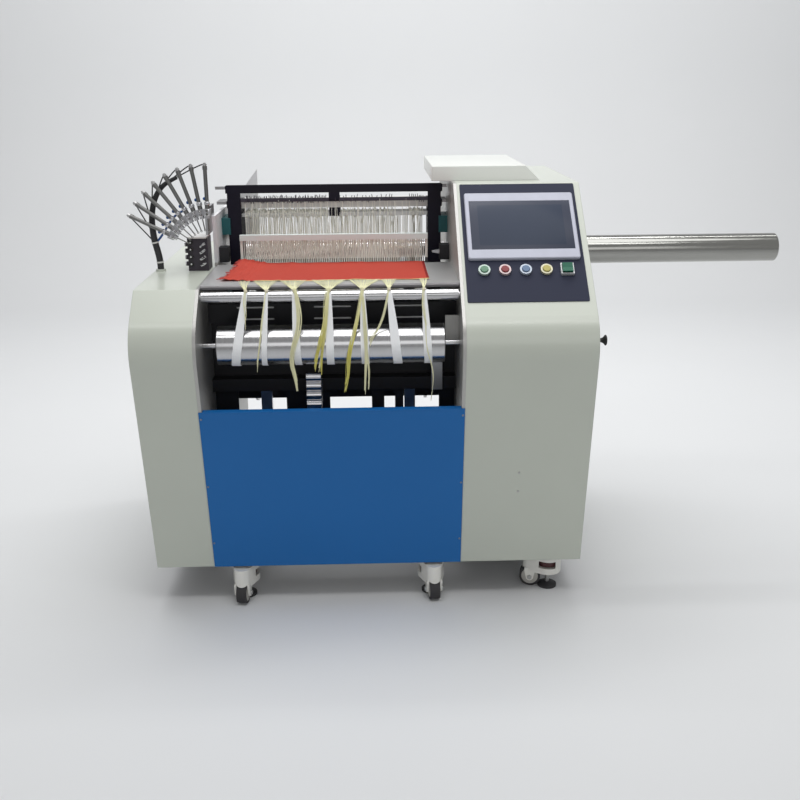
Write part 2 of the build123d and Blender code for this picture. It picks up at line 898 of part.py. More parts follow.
with BuildPart() as selector_bracket:
    with BuildSketch(fan_plane.offset(-fan_arc_thickness / 2)):
        with BuildLine():
            start_deg = 90 - fan_arc_margin_deg
            sweep_deg = fan_sweep_deg + 2 * fan_arc_margin_deg
            outer_arc = CenterArc((0, 0), fan_arc_outer, start_deg, sweep_deg)
            inner_arc = CenterArc((0, 0), fan_arc_inner, start_deg, sweep_deg)
            Line(outer_arc @ 0, inner_arc @ 0)
            Line(outer_arc @ 1, inner_arc @ 1)
        make_face()
    extrude(amount=fan_arc_thickness)
    leg_height = fan_z + fan_arc_outer - fan_leg_low
    with BuildSketch(across(-plate_outer - fan_leg_thickness)):
        leg_front = fan_y + eyelet_radius
        with Locations(((leg_front + fan_leg_rear) / 2, fan_leg_low + leg_height / 2)):
            Rectangle(fan_leg_rear - leg_front, leg_height)
    extrude(amount=fan_leg_thickness)
    for number in range(1, fingers + 1):
        with BuildSketch(finger_plane(number, finger_rod_inner)):
            Circle(finger_rod_radius + rod_hole_gap)
        extrude(amount=barrel_start - finger_rod_inner, mode=Mode.SUBTRACT)
finish(selector_bracket, "selector_bracket")

with BuildPart() as selector_cylinders:
    for number in range(1, fingers + 1):
        with BuildSketch(finger_plane(number, barrel_start)):
            Circle(barrel_radius)
        extrude(amount=barrel_end - barrel_start)
        for cap_start in (barrel_start, barrel_end - cap_length):
            with BuildSketch(finger_plane(number, cap_start)):
                Circle(cap_radius)
            extrude(amount=cap_length)
        with BuildSketch(finger_plane(number, barrel_start)):
            Circle(finger_rod_radius + rod_hole_gap)
        extrude(amount=finger_rod_outer - barrel_start + seat_gap, mode=Mode.SUBTRACT)
finish(selector_cylinders, "selector_cylinders")

for number in range(1, fingers + 1):
    along = finger_direction(number)
    eye_radius = finger_rod_inner + eyelet_radius
    eye_middle = (fan_x + along[0] * eye_radius, fan_y, fan_z + along[2] * eye_radius)
    with BuildPart() as selector_rod:
        with BuildSketch(finger_plane(number, eye_radius)):
            Circle(finger_rod_radius)
        extrude(amount=finger_rod_outer - eye_radius)
        with BuildSketch(Plane(origin=eye_middle, x_dir=(1, 0, 0), z_dir=(0, -1, 0))):
            Circle(eyelet_radius)
        extrude(amount=eyelet_thickness / 2, both=True)
        with BuildSketch(Plane(origin=eye_middle, x_dir=(1, 0, 0), z_dir=(0, -1, 0))):
            Circle(eyelet_bore)
        extrude(amount=finger_rod_radius + overrun, both=True, mode=Mode.SUBTRACT)
    finish(selector_rod, f"selector_rod_{number}")

with BuildPart() as tension_block:
    block_top = left_top + block_height
    block_middle = block_right - block_width / 2
    with BuildSketch(Plane.XY.offset(left_top)):
        with Locations((block_middle, block_front + block_depth / 2)):
            Rectangle(block_width, block_depth)
    extrude(amount=block_height)
    knob_pitch = block_height / (block_knobs + 1)
    with BuildSketch(across(block_right - block_width)):
        with Locations((block_front + block_depth / 4, left_top + block_height / 2)):
            with GridLocations(block_depth, knob_pitch, 1, block_knobs):
                Circle(block_knob_radius)
    extrude(amount=-block_knob_length)
    rib_pitch = block_height / (block_ribs + 1)
    with BuildSketch(facing(block_front)):
        with Locations((block_right - block_width / 4, left_top + block_height / 2)):
            with GridLocations(block_width, rib_pitch, 1, block_ribs):
                Rectangle(block_width / 3, block_rib_height, rotation=block_rib_lean_deg)
    extrude(amount=block_rib_depth)
    with BuildSketch(Plane.XY.offset(block_top)):
        with Locations((block_middle, block_front + block_depth / 2)):
            Rectangle(block_width - block_plate, block_depth + block_plate_reach)
    extrude(amount=block_plate)
finish(tension_block, "tension_block")

hose_runs = [Vector(*end) - Vector(*start) for start, end in zip(hose_points, hose_points[1:])]
hose_radii = []
for run_in, run_out in zip(hose_runs, hose_runs[1:]):
    turn = radians(run_in.get_angle(run_out))
    hose_radii.append(hose_bend_share * min(run_in.length, run_out.length) / tan(turn / 2))
print("air_hose radii", [round(radius) for radius in hose_radii])

with BuildPart() as air_hose:
    with BuildLine() as hose_line:
        FilletPolyline(*hose_points, radius=hose_radii)
    with BuildSketch(Plane(origin=hose_points[0], z_dir=hose_runs[0])):
        Circle(hose_radius)
    sweep()
finish(air_hose, "air_hose")
print("air_hose length", round(hose_line.wires()[0].length, 1))

# Rapier that slides out of its tube through the guide beside the reed
with BuildPart() as rapier:
    with BuildSketch(across(rapier_tip)):
        with Locations((rapier_y, rapier_z)):
            Rectangle(rapier_width, rapier_height)
    extrude(amount=rapier_end - rapier_tip)
    tip_edges = rapier.faces().sort_by(Axis.X)[0].edges().filter_by(Axis.Y)
    chamfer(tip_edges, rapier_nose_height, rapier_nose, reference=rapier.faces().sort_by(Axis.X)[0])
    with BuildSketch(across(rapier_end - shoe_length)):
        with Locations((rapier_y, rapier_z)):
            Circle(tube_radius - tube_wall - shoe_fit)
    extrude(amount=shoe_length)
finish(rapier, "rapier")

with BuildPart() as rapier_tube:
    tube_start = right_end
    turned(rapier_y, rapier_z, ((tube_start, tube_start + tube_length, tube_radius),
                                (tube_start, tube_start + tube_flange, tube_flange_radius)))
    with BuildSketch(across(tube_start)):
        with Locations((rapier_y, rapier_z)):
            Circle(tube_radius - tube_wall)
    extrude(amount=tube_length - tube_cap, mode=Mode.SUBTRACT)
    fillet(rapier_tube.faces().sort_by(Axis.X)[-1].edges(), tube_edge)
finish(rapier_tube, "rapier_tube")

with BuildPart() as rapier_guide:
    with BuildSketch(across(guide_block_left)):
        with Locations((rapier_y, rapier_z)):
            Rectangle(guide_block_depth, guide_block_height)
            Rectangle(rapier_width + 2 * rapier_fit, rapier_height + 2 * rapier_fit, mode=Mode.SUBTRACT)
    extrude(amount=half_gap - guide_block_left)
    mirror(about=Plane.YZ)
finish(rapier_guide, "rapier_guide")

# Warp beam, back rest and the warp sheet that runs over it
with BuildPart() as warp_beam:
    turned(beam_axis_y, beam_axis_z, (
        (-plate_outer, plate_outer, warp_journal_radius),
        (-warp_beam_half, warp_beam_half, warp_pack_radius),
        (-warp_beam_half, warp_flange - warp_beam_half, warp_flange_radius),
        (warp_beam_half - warp_flange, warp_beam_half, warp_flange_radius),
    ))
finish(warp_beam, "warp_beam")

with BuildPart() as back_rest:
    turned(rest_y, rest_z, ((-plate_outer, plate_outer, journal_radius),
                            (-breast_half, breast_half, rest_radius)))
finish(back_rest, "back_rest")

with BuildPart() as warp_sheet:
    pack_line = warp_pack_radius + pack_gap
    rest_line = rest_radius + pack_gap
    span_y = rest_y - beam_axis_y
    span_z = rest_z - beam_axis_z
    span = hypot(span_y, span_z)
    tangent = atan2(span_z, span_y) - acos((pack_line - rest_line) / span)
    off_pack = (beam_axis_y + pack_line * cos(tangent), beam_axis_z + pack_line * sin(tangent))
    on_rest = (rest_y + rest_line * cos(tangent), rest_z + rest_line * sin(tangent))
    with BuildSketch(across(-warp_half)):
        with BuildLine():
            Line(off_pack, on_rest)
            CenterArc((rest_y, rest_z), rest_line, degrees(tangent), 90 - degrees(tangent))
            Line((rest_y, rest_z + rest_line), (warp_front, rest_z + rest_line))
        trace(line_width=warp_thickness)
    extrude(amount=2 * warp_half)
finish(warp_sheet, "warp_sheet")

# Cloth on the breast plate, with one corner pulled out
with BuildPart() as woven_cloth:
    with BuildSketch(Plane.XY.offset(table_top)):
        with BuildLine():
            Polyline(
                (cloth_half, cloth_front),
                (cloth_half, cloth_rear),
                (-cloth_half, cloth_rear),
                (-cloth_half - cloth_corner_reach, cloth_front + cloth_corner_reach),
                (cloth_corner_back - cloth_half, cloth_front),
                close=True,
            )
        make_face()
    extrude(amount=cloth_thickness)
finish(woven_cloth, "woven_cloth")

# Yarn bundles knotted to leader tapes that run over the breast roller and round the take-up roller
tape_top = table_top + tape_gap
lip_line = lip_radius + tape_gap
breast_line = breast_radius + tape_gap
take_up_line = take_up_radius + tape_gap


def outer_tangent(first, first_radius, second, second_radius):
    # Angle, seen from both centres, at which a line on their front side touches both circles.
    along_y = second[0] - first[0]
    along_z = second[1] - first[1]
    return atan2(along_z, along_y) - acos((first_radius - second_radius) / hypot(along_y, along_z))


def on_circle(middle, radius, angle):
    return (middle[0] + radius * cos(angle), middle[1] + radius * sin(angle))


lip_middle = (lip_y, table_top - lip_radius)
breast_middle = (roller_y, breast_z)
take_up_middle = (roller_y, take_up_z)
to_breast = outer_tangent(lip_middle, lip_line, breast_middle, breast_line)
to_take_up = outer_tangent(breast_middle, breast_line, take_up_middle, take_up_line)
tape_end = to_take_up + radians(tape_wrap_deg)
tail_start = on_circle(take_up_middle, take_up_line, tape_end)

with BuildPart() as leader_tapes:
    for tape_share, bundle_share in zip(tape_shares, bundle_shares):
        tape_x = tape_share * cloth_half
        bundle_half = bundle_share * cloth_half
        with BuildSketch(across(tape_x - tape_width / 2)):
            with BuildLine():
                Line((cloth_front - seat_gap, tape_top), (lip_y, tape_top))
                lip_turn = degrees(to_breast % radians(360)) - 90
                CenterArc(lip_middle, lip_line, 90, lip_turn)
                Line(on_circle(lip_middle, lip_line, to_breast),
                     on_circle(breast_middle, breast_line, to_breast))
                breast_turn = degrees((to_take_up - to_breast) % radians(360))
                CenterArc(breast_middle, breast_line, degrees(to_breast), breast_turn)
                Line(on_circle(breast_middle, breast_line, to_take_up),
                     on_circle(take_up_middle, take_up_line, to_take_up))
                CenterArc(take_up_middle, take_up_line, degrees(to_take_up), tape_wrap_deg)
                Line(tail_start, (tail_start[0], tail_start[1] - tape_tail))
            trace(line_width=tape_thickness)
        extrude(amount=tape_width)
        with BuildSketch(Plane.XY.offset(tape_top - tape_thickness / 2)):
            with BuildLine():
                Polyline(
                    (tape_x - tape_width / 2, fan_fold_y),
                    (tape_x + tape_width / 2, fan_fold_y),
                    (tape_x + bundle_half, cloth_front - seat_gap),
                    (tape_x - bundle_half, cloth_front - seat_gap),
                    close=True,
                )
            make_face()
        extrude(amount=tape_thickness)
finish(leader_tapes, "leader_tapes")

# Operator console on the slope of the right cover
with BuildPart() as console_plate:
    with BuildSketch(console_plane):
        with Locations((0, console_plate_low + console_plate_length / 2)):
            RectangleRounded(console_plate_width, console_plate_length, console_plate_radius)
    extrude(amount=console_plate_thickness)
finish(console_plate, "console_plate")

with BuildPart() as touch_screen:
    with BuildSketch(console_face):
        with Locations((0, screen_low + screen_length / 2)):
            RectangleRounded(screen_width, screen_length, screen_radius)
    extrude(amount=screen_depth)
    chamfer(touch_screen.faces().sort_by(Axis(console_plane.origin, console_plane.z_dir))[-1].edges(), sheet)
    with BuildSketch(console_face.offset(screen_depth)):
        with Locations((0, screen_low + screen_length / 2)):
            Rectangle(glass_width, glass_length)
    extrude(amount=-glass_recess, mode=Mode.SUBTRACT)
finish(touch_screen, "touch_screen")

control_x = [(place - 2) * button_pitch for place in range(5)]

with BuildPart() as button_rings:
    with BuildSketch(console_face):
        for x in control_x[:4]:
            with Locations((x, button_low)):
                Circle(ring_radius)
                Circle(button_radius + button_gap, mode=Mode.SUBTRACT)
    extrude(amount=ring_height)
    with BuildSketch(console_face):
        with Locations((control_x[4], button_low)):
            Rectangle(switch_side, switch_side)
            Rectangle(switch_window, switch_window, mode=Mode.SUBTRACT)
    extrude(amount=switch_height)
finish(button_rings, "button_rings")

for x, colour in zip(control_x, ("green", "red", "blue", "yellow")):
    with BuildPart() as button:
        with BuildSketch(console_face.offset(button_float)):
            with Locations((x, button_low)):
                Circle(button_radius)
        extrude(amount=button_height)
        outer_face = button.faces().sort_by(Axis(console_plane.origin, console_plane.z_dir))[-1]
        chamfer(outer_face.edges(), button_edge)
    finish(button, f"{colour}_button")

with BuildPart() as power_switch:
    rocker_origin = console_face.from_local_coords((control_x[4], button_low, rocker_axis_height))
    rocker_half = switch_window / 2 - button_gap
    rocker_plane = Plane(origin=rocker_origin, x_dir=console_plane.y_dir, z_dir=(1, 0, 0))
    with BuildSketch(rocker_plane.offset(-rocker_half)):
        Circle(rocker_radius)
        with BuildLine():
            Polyline(
                (-rocker_radius, rocker_crown),
                (0, rocker_crown - rocker_notch),
                (rocker_radius, rocker_crown),
                (rocker_radius, rocker_radius),
                (-rocker_radius, rocker_radius),
                close=True,
            )
        make_face(mode=Mode.SUBTRACT)
    extrude(amount=2 * rocker_half)
finish(power_switch, "power_switch")

with BuildPart() as side_knob:
    turned(knob_y, knob_z, ((right_end, right_end + knob_stem, knob_stem_radius),
                            (right_end + knob_stem, right_end + knob_stem + knob_length, knob_radius)))
    chamfer(side_knob.faces().sort_by(Axis.X)[-1].edges(), knob_edge)
finish(side_knob, "side_knob")

# The row stands on the middle of its own footprint
boxes = [builder.part.bounding_box() for builder in finished.values()]
middle_x = (min(box.min.X for box in boxes) + max(box.max.X for box in boxes)) / 2
middle_y = (min(box.min.Y for box in boxes) + max(box.max.Y for box in boxes)) / 2
stand = Location((-middle_x, -middle_y, 0))

os.makedirs("parts", exist_ok=True)
for name, builder in finished.items():
    export_step(builder.part.moved(stand), f"parts/{name}.step")
print("nodes", len(finished), "shift", round(-middle_x, 3), round(-middle_y, 3))
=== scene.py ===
import math
import random

import bmesh
import bpy
from mathutils import Matrix, Vector


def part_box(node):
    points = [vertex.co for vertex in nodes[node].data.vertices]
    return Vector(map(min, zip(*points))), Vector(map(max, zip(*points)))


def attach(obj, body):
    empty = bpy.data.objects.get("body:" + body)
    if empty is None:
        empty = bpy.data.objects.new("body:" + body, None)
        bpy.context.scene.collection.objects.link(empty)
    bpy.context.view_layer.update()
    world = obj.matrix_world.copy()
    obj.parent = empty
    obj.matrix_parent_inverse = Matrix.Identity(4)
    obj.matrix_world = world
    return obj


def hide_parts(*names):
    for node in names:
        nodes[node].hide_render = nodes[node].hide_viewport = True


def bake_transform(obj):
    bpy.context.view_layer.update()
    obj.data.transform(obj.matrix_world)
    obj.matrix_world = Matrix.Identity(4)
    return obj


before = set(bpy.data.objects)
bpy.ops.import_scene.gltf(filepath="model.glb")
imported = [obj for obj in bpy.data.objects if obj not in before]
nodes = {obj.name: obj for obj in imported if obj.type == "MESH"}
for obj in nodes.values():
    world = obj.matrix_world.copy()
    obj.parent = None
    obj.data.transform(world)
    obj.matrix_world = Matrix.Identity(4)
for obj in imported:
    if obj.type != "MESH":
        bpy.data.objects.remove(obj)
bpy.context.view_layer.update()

# Everything below is placed in millimetres from the middle of the weaving width,
# the line of the take-up roller and the floor.
middleX = sum(corner.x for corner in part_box("breast_roller")) / 2
rollerY = sum(corner.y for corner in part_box("take_up_roller")) / 2


def mm(value):
    return value / 1000


def at(x, y, z):
    return Vector((middleX + mm(x), rollerY + mm(y), mm(z)))


# Modelling tools

tool = dict(sharp=35, soft=60, facing=0.9, threadSteps=4, cordSteps=10, cordSides=5)


def deselect():
    bpy.ops.object.select_all(action="DESELECT")


def activate(piece):
    deselect()
    piece.select_set(True)
    bpy.context.view_layer.objects.active = piece


def named(name):    # the object that an operator has just added
    piece = bpy.context.object
    piece.name = name
    piece.data.name = name
    return piece


def added(name, data):    # a new object in the scene
    piece = bpy.data.objects.new(name, data)
    bpy.context.scene.collection.objects.link(piece)
    return piece


def settle(piece):    # place, turn and size go into the mesh
    activate(piece)
    bpy.ops.object.transform_apply(location=True, rotation=True, scale=True)
    return piece


def facingMatrix(base, direction):    # a piece's own Z goes along the direction
    return Matrix.Translation(base) @ Vector(direction).to_track_quat("Z", "Y").to_matrix().to_4x4()


def aim(piece, base, direction):
    piece.matrix_world = facingMatrix(base, direction)
    return settle(piece)


def applyModifier(piece, kind, **settings):
    activate(piece)
    modifier = piece.modifiers.new(kind.title(), kind)
    for key, value in settings.items():
        setattr(modifier, key, value)
    bpy.ops.object.modifier_apply(modifier=modifier.name)
    return piece


def smooth(piece, angle=tool["sharp"]):
    activate(piece)
    bpy.ops.object.shade_smooth_by_angle(angle=math.radians(angle))
    return piece


def softEdges(piece, width):
    applyModifier(piece, "BEVEL", width=mm(width), segments=2, limit_method="ANGLE")
    return smooth(piece)


def pickFaces(piece, test):
    bpy.ops.mesh.select_all(action="DESELECT")
    mesh = bmesh.from_edit_mesh(piece.data)
    for face in mesh.faces:
        face.select_set(test(face))
    bmesh.update_edit_mesh(piece.data)


def turnPiece(name, profile, sides, soft=0):
    # A round bar is added, then its end is extruded and scaled along the profile of (radius, height).
    deselect()
    (radius, low), (_, high) = profile[:2]
    bpy.ops.mesh.primitive_cylinder_add(vertices=sides, radius=mm(radius), depth=mm(high - low),
                                        location=(0, 0, mm(low + high) / 2))
    piece = settle(named(name))
    bpy.ops.object.mode_set(mode="EDIT")
    pickFaces(piece, lambda face: face.normal.z > tool["facing"])
    for nextRadius, nextHeight in profile[2:]:
        bpy.ops.mesh.extrude_region_move(TRANSFORM_OT_translate={"value": (0, 0, mm(nextHeight - high))})
        share = nextRadius / radius
        bpy.ops.transform.resize(value=(share, share, 1), center_override=(0, 0, mm(nextHeight)))
        radius, high = nextRadius, nextHeight
    bpy.ops.object.mode_set(mode="OBJECT")
    if soft:
        softEdges(piece, soft)
    return smooth(piece)


def ringPiece(name, inner, outer, length, sides):    # an open tube standing on the floor
    deselect()
    bpy.ops.mesh.primitive_cylinder_add(vertices=sides, radius=mm(outer), depth=mm(length),
                                        end_fill_type="NOTHING", location=(0, 0, mm(length) / 2))
    piece = settle(named(name))
    applyModifier(piece, "SOLIDIFY", thickness=mm(outer - inner), offset=-1)
    return smooth(piece)


def slabPiece(name, low, high, soft):
    deselect()
    bpy.ops.mesh.primitive_cube_add(size=1, location=(low + high) / 2)
    piece = named(name)
    piece.scale = high - low
    settle(piece)
    return softEdges(piece, soft) if soft else piece


def gridPiece(name, columns, rows, place):    # a flat grid with every point moved to its place
    deselect()
    bpy.ops.mesh.primitive_grid_add(x_subdivisions=columns, y_subdivisions=rows, size=1)
    piece = named(name)
    for vertex in piece.data.vertices:
        vertex.co = place(vertex.co.x, vertex.co.y)
    return piece


def curvePiece(name, lines, radius, steps, sides):
    # Each line becomes one round strand, bent softly if it has steps.
    curve = bpy.data.curves.new(name, "CURVE")
    curve.dimensions = "3D"
    curve.bevel_depth = mm(radius)
    curve.bevel_resolution = sides
    curve.use_fill_caps = True
    for line in lines:
        spline = curve.splines.new("NURBS" if steps else "POLY")
        spline.points.add(len(line) - 1)
        for point, place in zip(spline.points, line):
            point.co = (*place, 1)
        if steps:
            spline.order_u = 3
            spline.use_endpoint_u = True
            spline.resolution_u = steps
    return added(name, curve)


def strandPiece(name, lines, radius, curly=False, sides=0):
    activate(curvePiece(name, lines, radius, tool["threadSteps"] if curly else 0, sides))
    bpy.ops.object.convert(target="MESH")
    return smooth(bpy.context.object, tool["soft"])


def cordPiece(name, points, diameter):
    return curvePiece(name, [points], diameter / 2, tool["cordSteps"], tool["cordSides"])


def curvePoints(piece):    # the line down the middle of a cord
    bare = piece.copy()
    bare.data = piece.data.copy()
    bare.data.bevel_depth = 0
    mesh = bpy.data.meshes.new_from_object(bare)
    points = [vertex.co.copy() for vertex in mesh.vertices]
    bpy.data.meshes.remove(mesh)
    bpy.data.curves.remove(bare.data)
    return points


def joined(name, pieces):
    deselect()
    for piece in pieces:
        piece.select_set(True)
    bpy.context.view_layer.objects.active = pieces[0]
    if len(pieces) > 1:
        bpy.ops.object.join()
    return named(name)


def repeated(name, model, matrices):    # copies of one model, each with its own mesh, joined as one piece
    copies = []
    for matrix in matrices:
        copy = added(name, model.data.copy())
        copy.data.transform(matrix)
        copies.append(copy)
    bpy.data.objects.remove(model)
    return joined(name, copies)


# Finishes

class Value:    # an output socket that sums can use
    def __init__(self, finish, socket):
        self.finish = finish
        self.socket = socket

    def sum(self, operation, first, second):
        return self.finish.node("ShaderNodeMath", {"operation": operation}, {0: first, 1: second})

    def __add__(self, other):
        return self.sum("ADD", self, other)

    def __sub__(self, other):
        return self.sum("SUBTRACT", self, other)

    def __rsub__(self, other):
        return self.sum("SUBTRACT", other, self)

    def __mul__(self, other):
        return self.sum("MULTIPLY", self, other)

    def __gt__(self, other):
        return self.sum("GREATER_THAN", self, other)

    def __lt__(self, other):
        return self.sum("LESS_THAN", self, other)

    __radd__ = __add__
    __rmul__ = __mul__

    def part(self, out):    # another output of the same node
        return Value(self.finish, self.socket.node.outputs[out])


class Finish:    # one material and its nodes
    def __init__(self, name, colour, roughness, metallic=0.0, **fixed):
        self.material = bpy.data.materials.new(name)
        self.material.use_nodes = True
        self.tree = self.material.node_tree
        self.shader = self.tree.nodes["Principled BSDF"]
        self.set({"Base Color": (*colour, 1), "Roughness": roughness, "Metallic": metallic})
        self.set({key.replace("_", " "): value for key, value in fixed.items()})
        self.place = self.node("ShaderNodeTexCoord", out="Object")

    def node(self, kind, settings=None, sockets=None, out=0):
        node = self.tree.nodes.new(kind)
        for key, value in (settings or {}).items():
            setattr(node, key, value)
        for key, value in (sockets or {}).items():
            self.feed(node.inputs[key], value)
        return Value(self, node.outputs[out])

    def feed(self, socket, value):
        if isinstance(value, Value):
            self.tree.links.new(value.socket, socket)
        else:
            socket.default_value = value

    def set(self, sockets):
        for key, value in sockets.items():
            self.feed(self.shader.inputs[key], value)

    def noise(self, scale, detail, stretch=(1, 1, 1)):
        spot = self.node("ShaderNodeMapping", {}, {"Vector": self.place, "Scale": stretch})
        return self.node("ShaderNodeTexNoise", {}, {"Vector": spot, "Scale": scale, "Detail": detail})

    def wave(self, scale, axis, distortion=0.0, place=None):
        return self.node("ShaderNodeTexWave", {"bands_direction": axis},
                         {"Vector": place or self.place, "Scale": scale, "Distortion": distortion}, out=1)

    def axes(self, letters):    # where a point of the piece is along these axes, in metres
        split = self.node("ShaderNodeSeparateXYZ", {}, {0: self.place})
        return [split.part("xyz".index(letter)) for letter in letters]

    def mix(self, share, first, second):
        ends = [end if isinstance(end, Value) else (*end[:3], 1) for end in (first, second)]
        return self.node("ShaderNodeMix", {"data_type": "RGBA"}, {0: share, 6: ends[0], 7: ends[1]}, out=2)

    def vary(self, share, colour, dark, light):    # from a darker to a lighter shade of one colour
        return self.mix(share, shade(colour, dark), shade(colour, light))

    def bump(self, height, distance, strength, edge=0.0):
        sockets = {"Height": height, "Distance": mm(distance), "Strength": strength}
        if edge:
            sockets["Normal"] = self.node("ShaderNodeBevel", {"samples": 6}, {"Radius": mm(edge)})
        self.set({"Normal": self.node("ShaderNodeBump", {}, sockets)})


def between(value, low, high):
    return (value > low) * (value < high)


def within(x, half):    # this near to the middle of the weaving width
    return between(x, middleX - mm(half), middleX + mm(half))


def around(middle, pattern, spread):
    return middle + (pattern - 0.5) * spread


def shade(colour, factor):
    return tuple(channel * factor for channel in colour)


def paint(name, colour, roughness, peel=0.04, edge=1.5, mottle=0.05, **fixed):
    # Powder coat: slight clouding, orange peel and softened folds
    finish = Finish(name, colour, roughness, **fixed)
    cloud = finish.noise(scale=2.6, detail=4)
    patches = finish.noise(scale=9, detail=2)
    finish.set({"Base Color": finish.vary(cloud, colour, 1 - mottle, 1 + mottle),
                "Roughness": around(roughness, patches, spread=0.05)})
    finish.bump(finish.noise(scale=650, detail=2), peel, strength=0.12, edge=edge)
    return finish


def metal(name, colour, roughness, grain, scale, edge=0.6, scratch=0.012):
    # Drawn or turned metal: fine lines across the stretch
    finish = Finish(name, colour, roughness, 1.0)
    lines = finish.noise(scale, 5, grain)
    finish.tone = finish.vary(lines, colour, dark=0.86, light=1.1)
    finish.set({"Base Color": finish.tone, "Roughness": around(roughness, lines, spread=0.22)})
    finish.bump(lines, scratch, strength=0.5, edge=edge)
    return finish


def plastic(name, colour, roughness, grain=0.03, edge=0.5, **fixed):
    finish = Finish(name, colour, roughness, **fixed)
    cloud = finish.noise(scale=30, detail=3)
    patches = finish.noise(scale=90, detail=3)
    finish.set({"Base Color": finish.vary(cloud, colour, dark=0.92, light=1.08),
                "Roughness": around(roughness, patches, spread=0.16)})
    finish.bump(finish.noise(scale=900, detail=2), grain, strength=0.5, edge=edge)
    return finish


def yarn(name, colour, deep):
    # Spun thread: fuzzy ply lines and uneven dye
    finish = Finish(name, colour, roughness=0.85, Sheen_Weight=0.3)
    finish.tone = finish.mix(finish.noise(scale=55, detail=4), deep, colour)
    finish.set({"Base Color": finish.tone})
    finish.bump(finish.noise(scale=420, detail=3, stretch=(1, 1, 0.4)), distance=0.25, strength=0.8)
    return finish


def goldFinish():
    # Straw at the knots, gold further down
    look = dict(straw=(0.8, 0.78, 0.5), gold=(0.72, 0.68, 0.2), deep=(0.54, 0.49, 0.08), high=825, low=705)
    finish = yarn("yarnGold", look["gold"], look["deep"])
    [z] = finish.axes("z")
    rise = finish.node("ShaderNodeMapRange", {}, {0: z, 1: mm(look["low"]), 2: mm(look["high"])})
    finish.set({"Base Color": finish.mix(rise, finish.tone, look["straw"])})
    return finish


def healdFrameFinish(name, drop, rod, rail):
    # Black frame with grey hanging lugs; its window holds rods and pale wires
    look = dict(black=(0.006, 0.005, 0.013), wire=(0.9, 0.88, 0.8), lug=(0.42, 0.42, 0.43),
                window=256, hook=15, lugIn=296.5, heights=dict(window=706, rod=986.5, rail=1011, lug=1020))
    finish = Finish(name, look["black"], 0.4, Specular_IOR_Level=0.22)
    x, z = finish.axes("xz")
    above = {key: z > mm(height - drop) for key, height in look["heights"].items()}
    middle = within(x, look["window"])
    hook = within(x, look["hook"]) * above["rod"]
    inside = middle * above["window"] * (1 - above["rail"]) * (1 - hook)
    bar = inside * above["rod"]
    lug = (1 - within(x, look["lugIn"])) * above["lug"]
    tone = finish.vary(finish.noise(scale=40, detail=3), look["black"], dark=0.7, light=1.6)
    tone = finish.mix(inside, tone, look["wire"])
    tone = finish.mix(bar, tone, rod)
    tone = finish.mix(middle * above["rail"], tone, rail)
    finish.set({"Base Color": finish.mix(lug, tone, look["lug"]), "Metallic": bar * 0.5 + lug * 0.8,
                "Roughness": 0.34 + finish.noise(scale=70, detail=3) * 0.14})
    finish.bump(finish.noise(scale=700, detail=2), distance=0.03, strength=0.4, edge=0.8)
    return finish


def reedFinish():
    # Satin cap over fine grey dents
    look = dict(cap=(0.74, 0.82, 0.8), dent=(0.84, 0.86, 0.8), deep=(0.54, 0.56, 0.52), capLow=896.5,
                foot=(0.05, 0.05, 0.055), footHigh=847)
    finish = Finish("reedSteel", look["cap"], 0.4)
    [z] = finish.axes("z")
    cap = z > mm(look["capLow"])
    brushed = finish.noise(scale=30, detail=4, stretch=(1, 25, 25))
    streaks = finish.noise(scale=120, detail=2, stretch=(1, 0.1, 0.02))
    dents = finish.mix(streaks, look["deep"], look["dent"])
    dents = finish.mix(z < mm(look["footHigh"]), dents, look["foot"])
    silver = finish.vary(brushed, look["cap"], dark=0.88, light=1.06)
    finish.set({"Base Color": finish.mix(cap, dents, silver), "Metallic": cap * 0.25,
                "Roughness": around(0.4, brushed, spread=0.16)})
    finish.bump(brushed * cap, distance=0.012, strength=0.5, edge=0.4)
    return finish


def crossBeamFinish():
    # Black beams and shield with one bright post on the right
    look = dict(black=(0.011, 0.011, 0.014), post=(0.5, 0.5, 0.5), left=246.5, right=275.5, front=99.9)
    finish = Finish("crossBeamBlack", look["black"], 0.42, Specular_IOR_Level=0.4)
    x, y = finish.axes("xy")
    post = between(x, middleX + mm(look["left"]), middleX + mm(look["right"]))
    post = post * (y < rollerY + mm(look["front"]))
    tone = finish.vary(finish.noise(scale=12, detail=4), look["black"], dark=0.7, light=1.5)
    finish.set({"Base Color": finish.mix(post, tone, look["post"]), "Metallic": post,
                "Roughness": around(0.42, finish.noise(scale=25, detail=4), spread=0.16)})
    finish.bump(finish.noise(scale=650, detail=2), distance=0.04, strength=0.5, edge=1.0)
    return finish


def blockFinish():
    # Black moulded block: pale plate on top, painted highlights in patches on the ribs at the front, knobs
    # with bright tips on the left
    look = dict(black=(0.014, 0.01, 0.017), plate=(0.78, 0.77, 0.76), silverTipAndPaintedGlint=(0.5, 0.5, 0.52), plateThick=3.6,
                tip=2.5, rib=1.6, paintedGlintFrom=0.47)
    low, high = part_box("tension_block")
    finish = Finish("blockBlack", look["black"], 0.42)
    x, y, z = finish.axes("xyz")
    plate = z > high.z - mm(look["plateThick"])
    tip = x < low.x + mm(look["tip"])
    rib = (y < low.y + mm(look["rib"])) * (1 - plate)
    # painted highlights: noise patches on the rib fronts turn silver; the knob tips share that silver colour
    bright = tip + rib * (finish.noise(scale=110, detail=2, stretch=(1, 1, 2)) > look["paintedGlintFrom"])
    tone = finish.vary(finish.noise(scale=60, detail=3), look["black"], dark=1, light=2.2)
    tone = finish.mix(plate, tone, look["plate"])
    finish.set({"Base Color": finish.mix(bright, tone, look["silverTipAndPaintedGlint"]), "Metallic": bright * 0.8,
                "Roughness": around(0.42 - bright * 0.15, finish.noise(scale=120, detail=3), spread=0.12)})
    finish.bump(finish.noise(scale=600, detail=2), distance=0.05, strength=0.5, edge=0.5)
    return finish


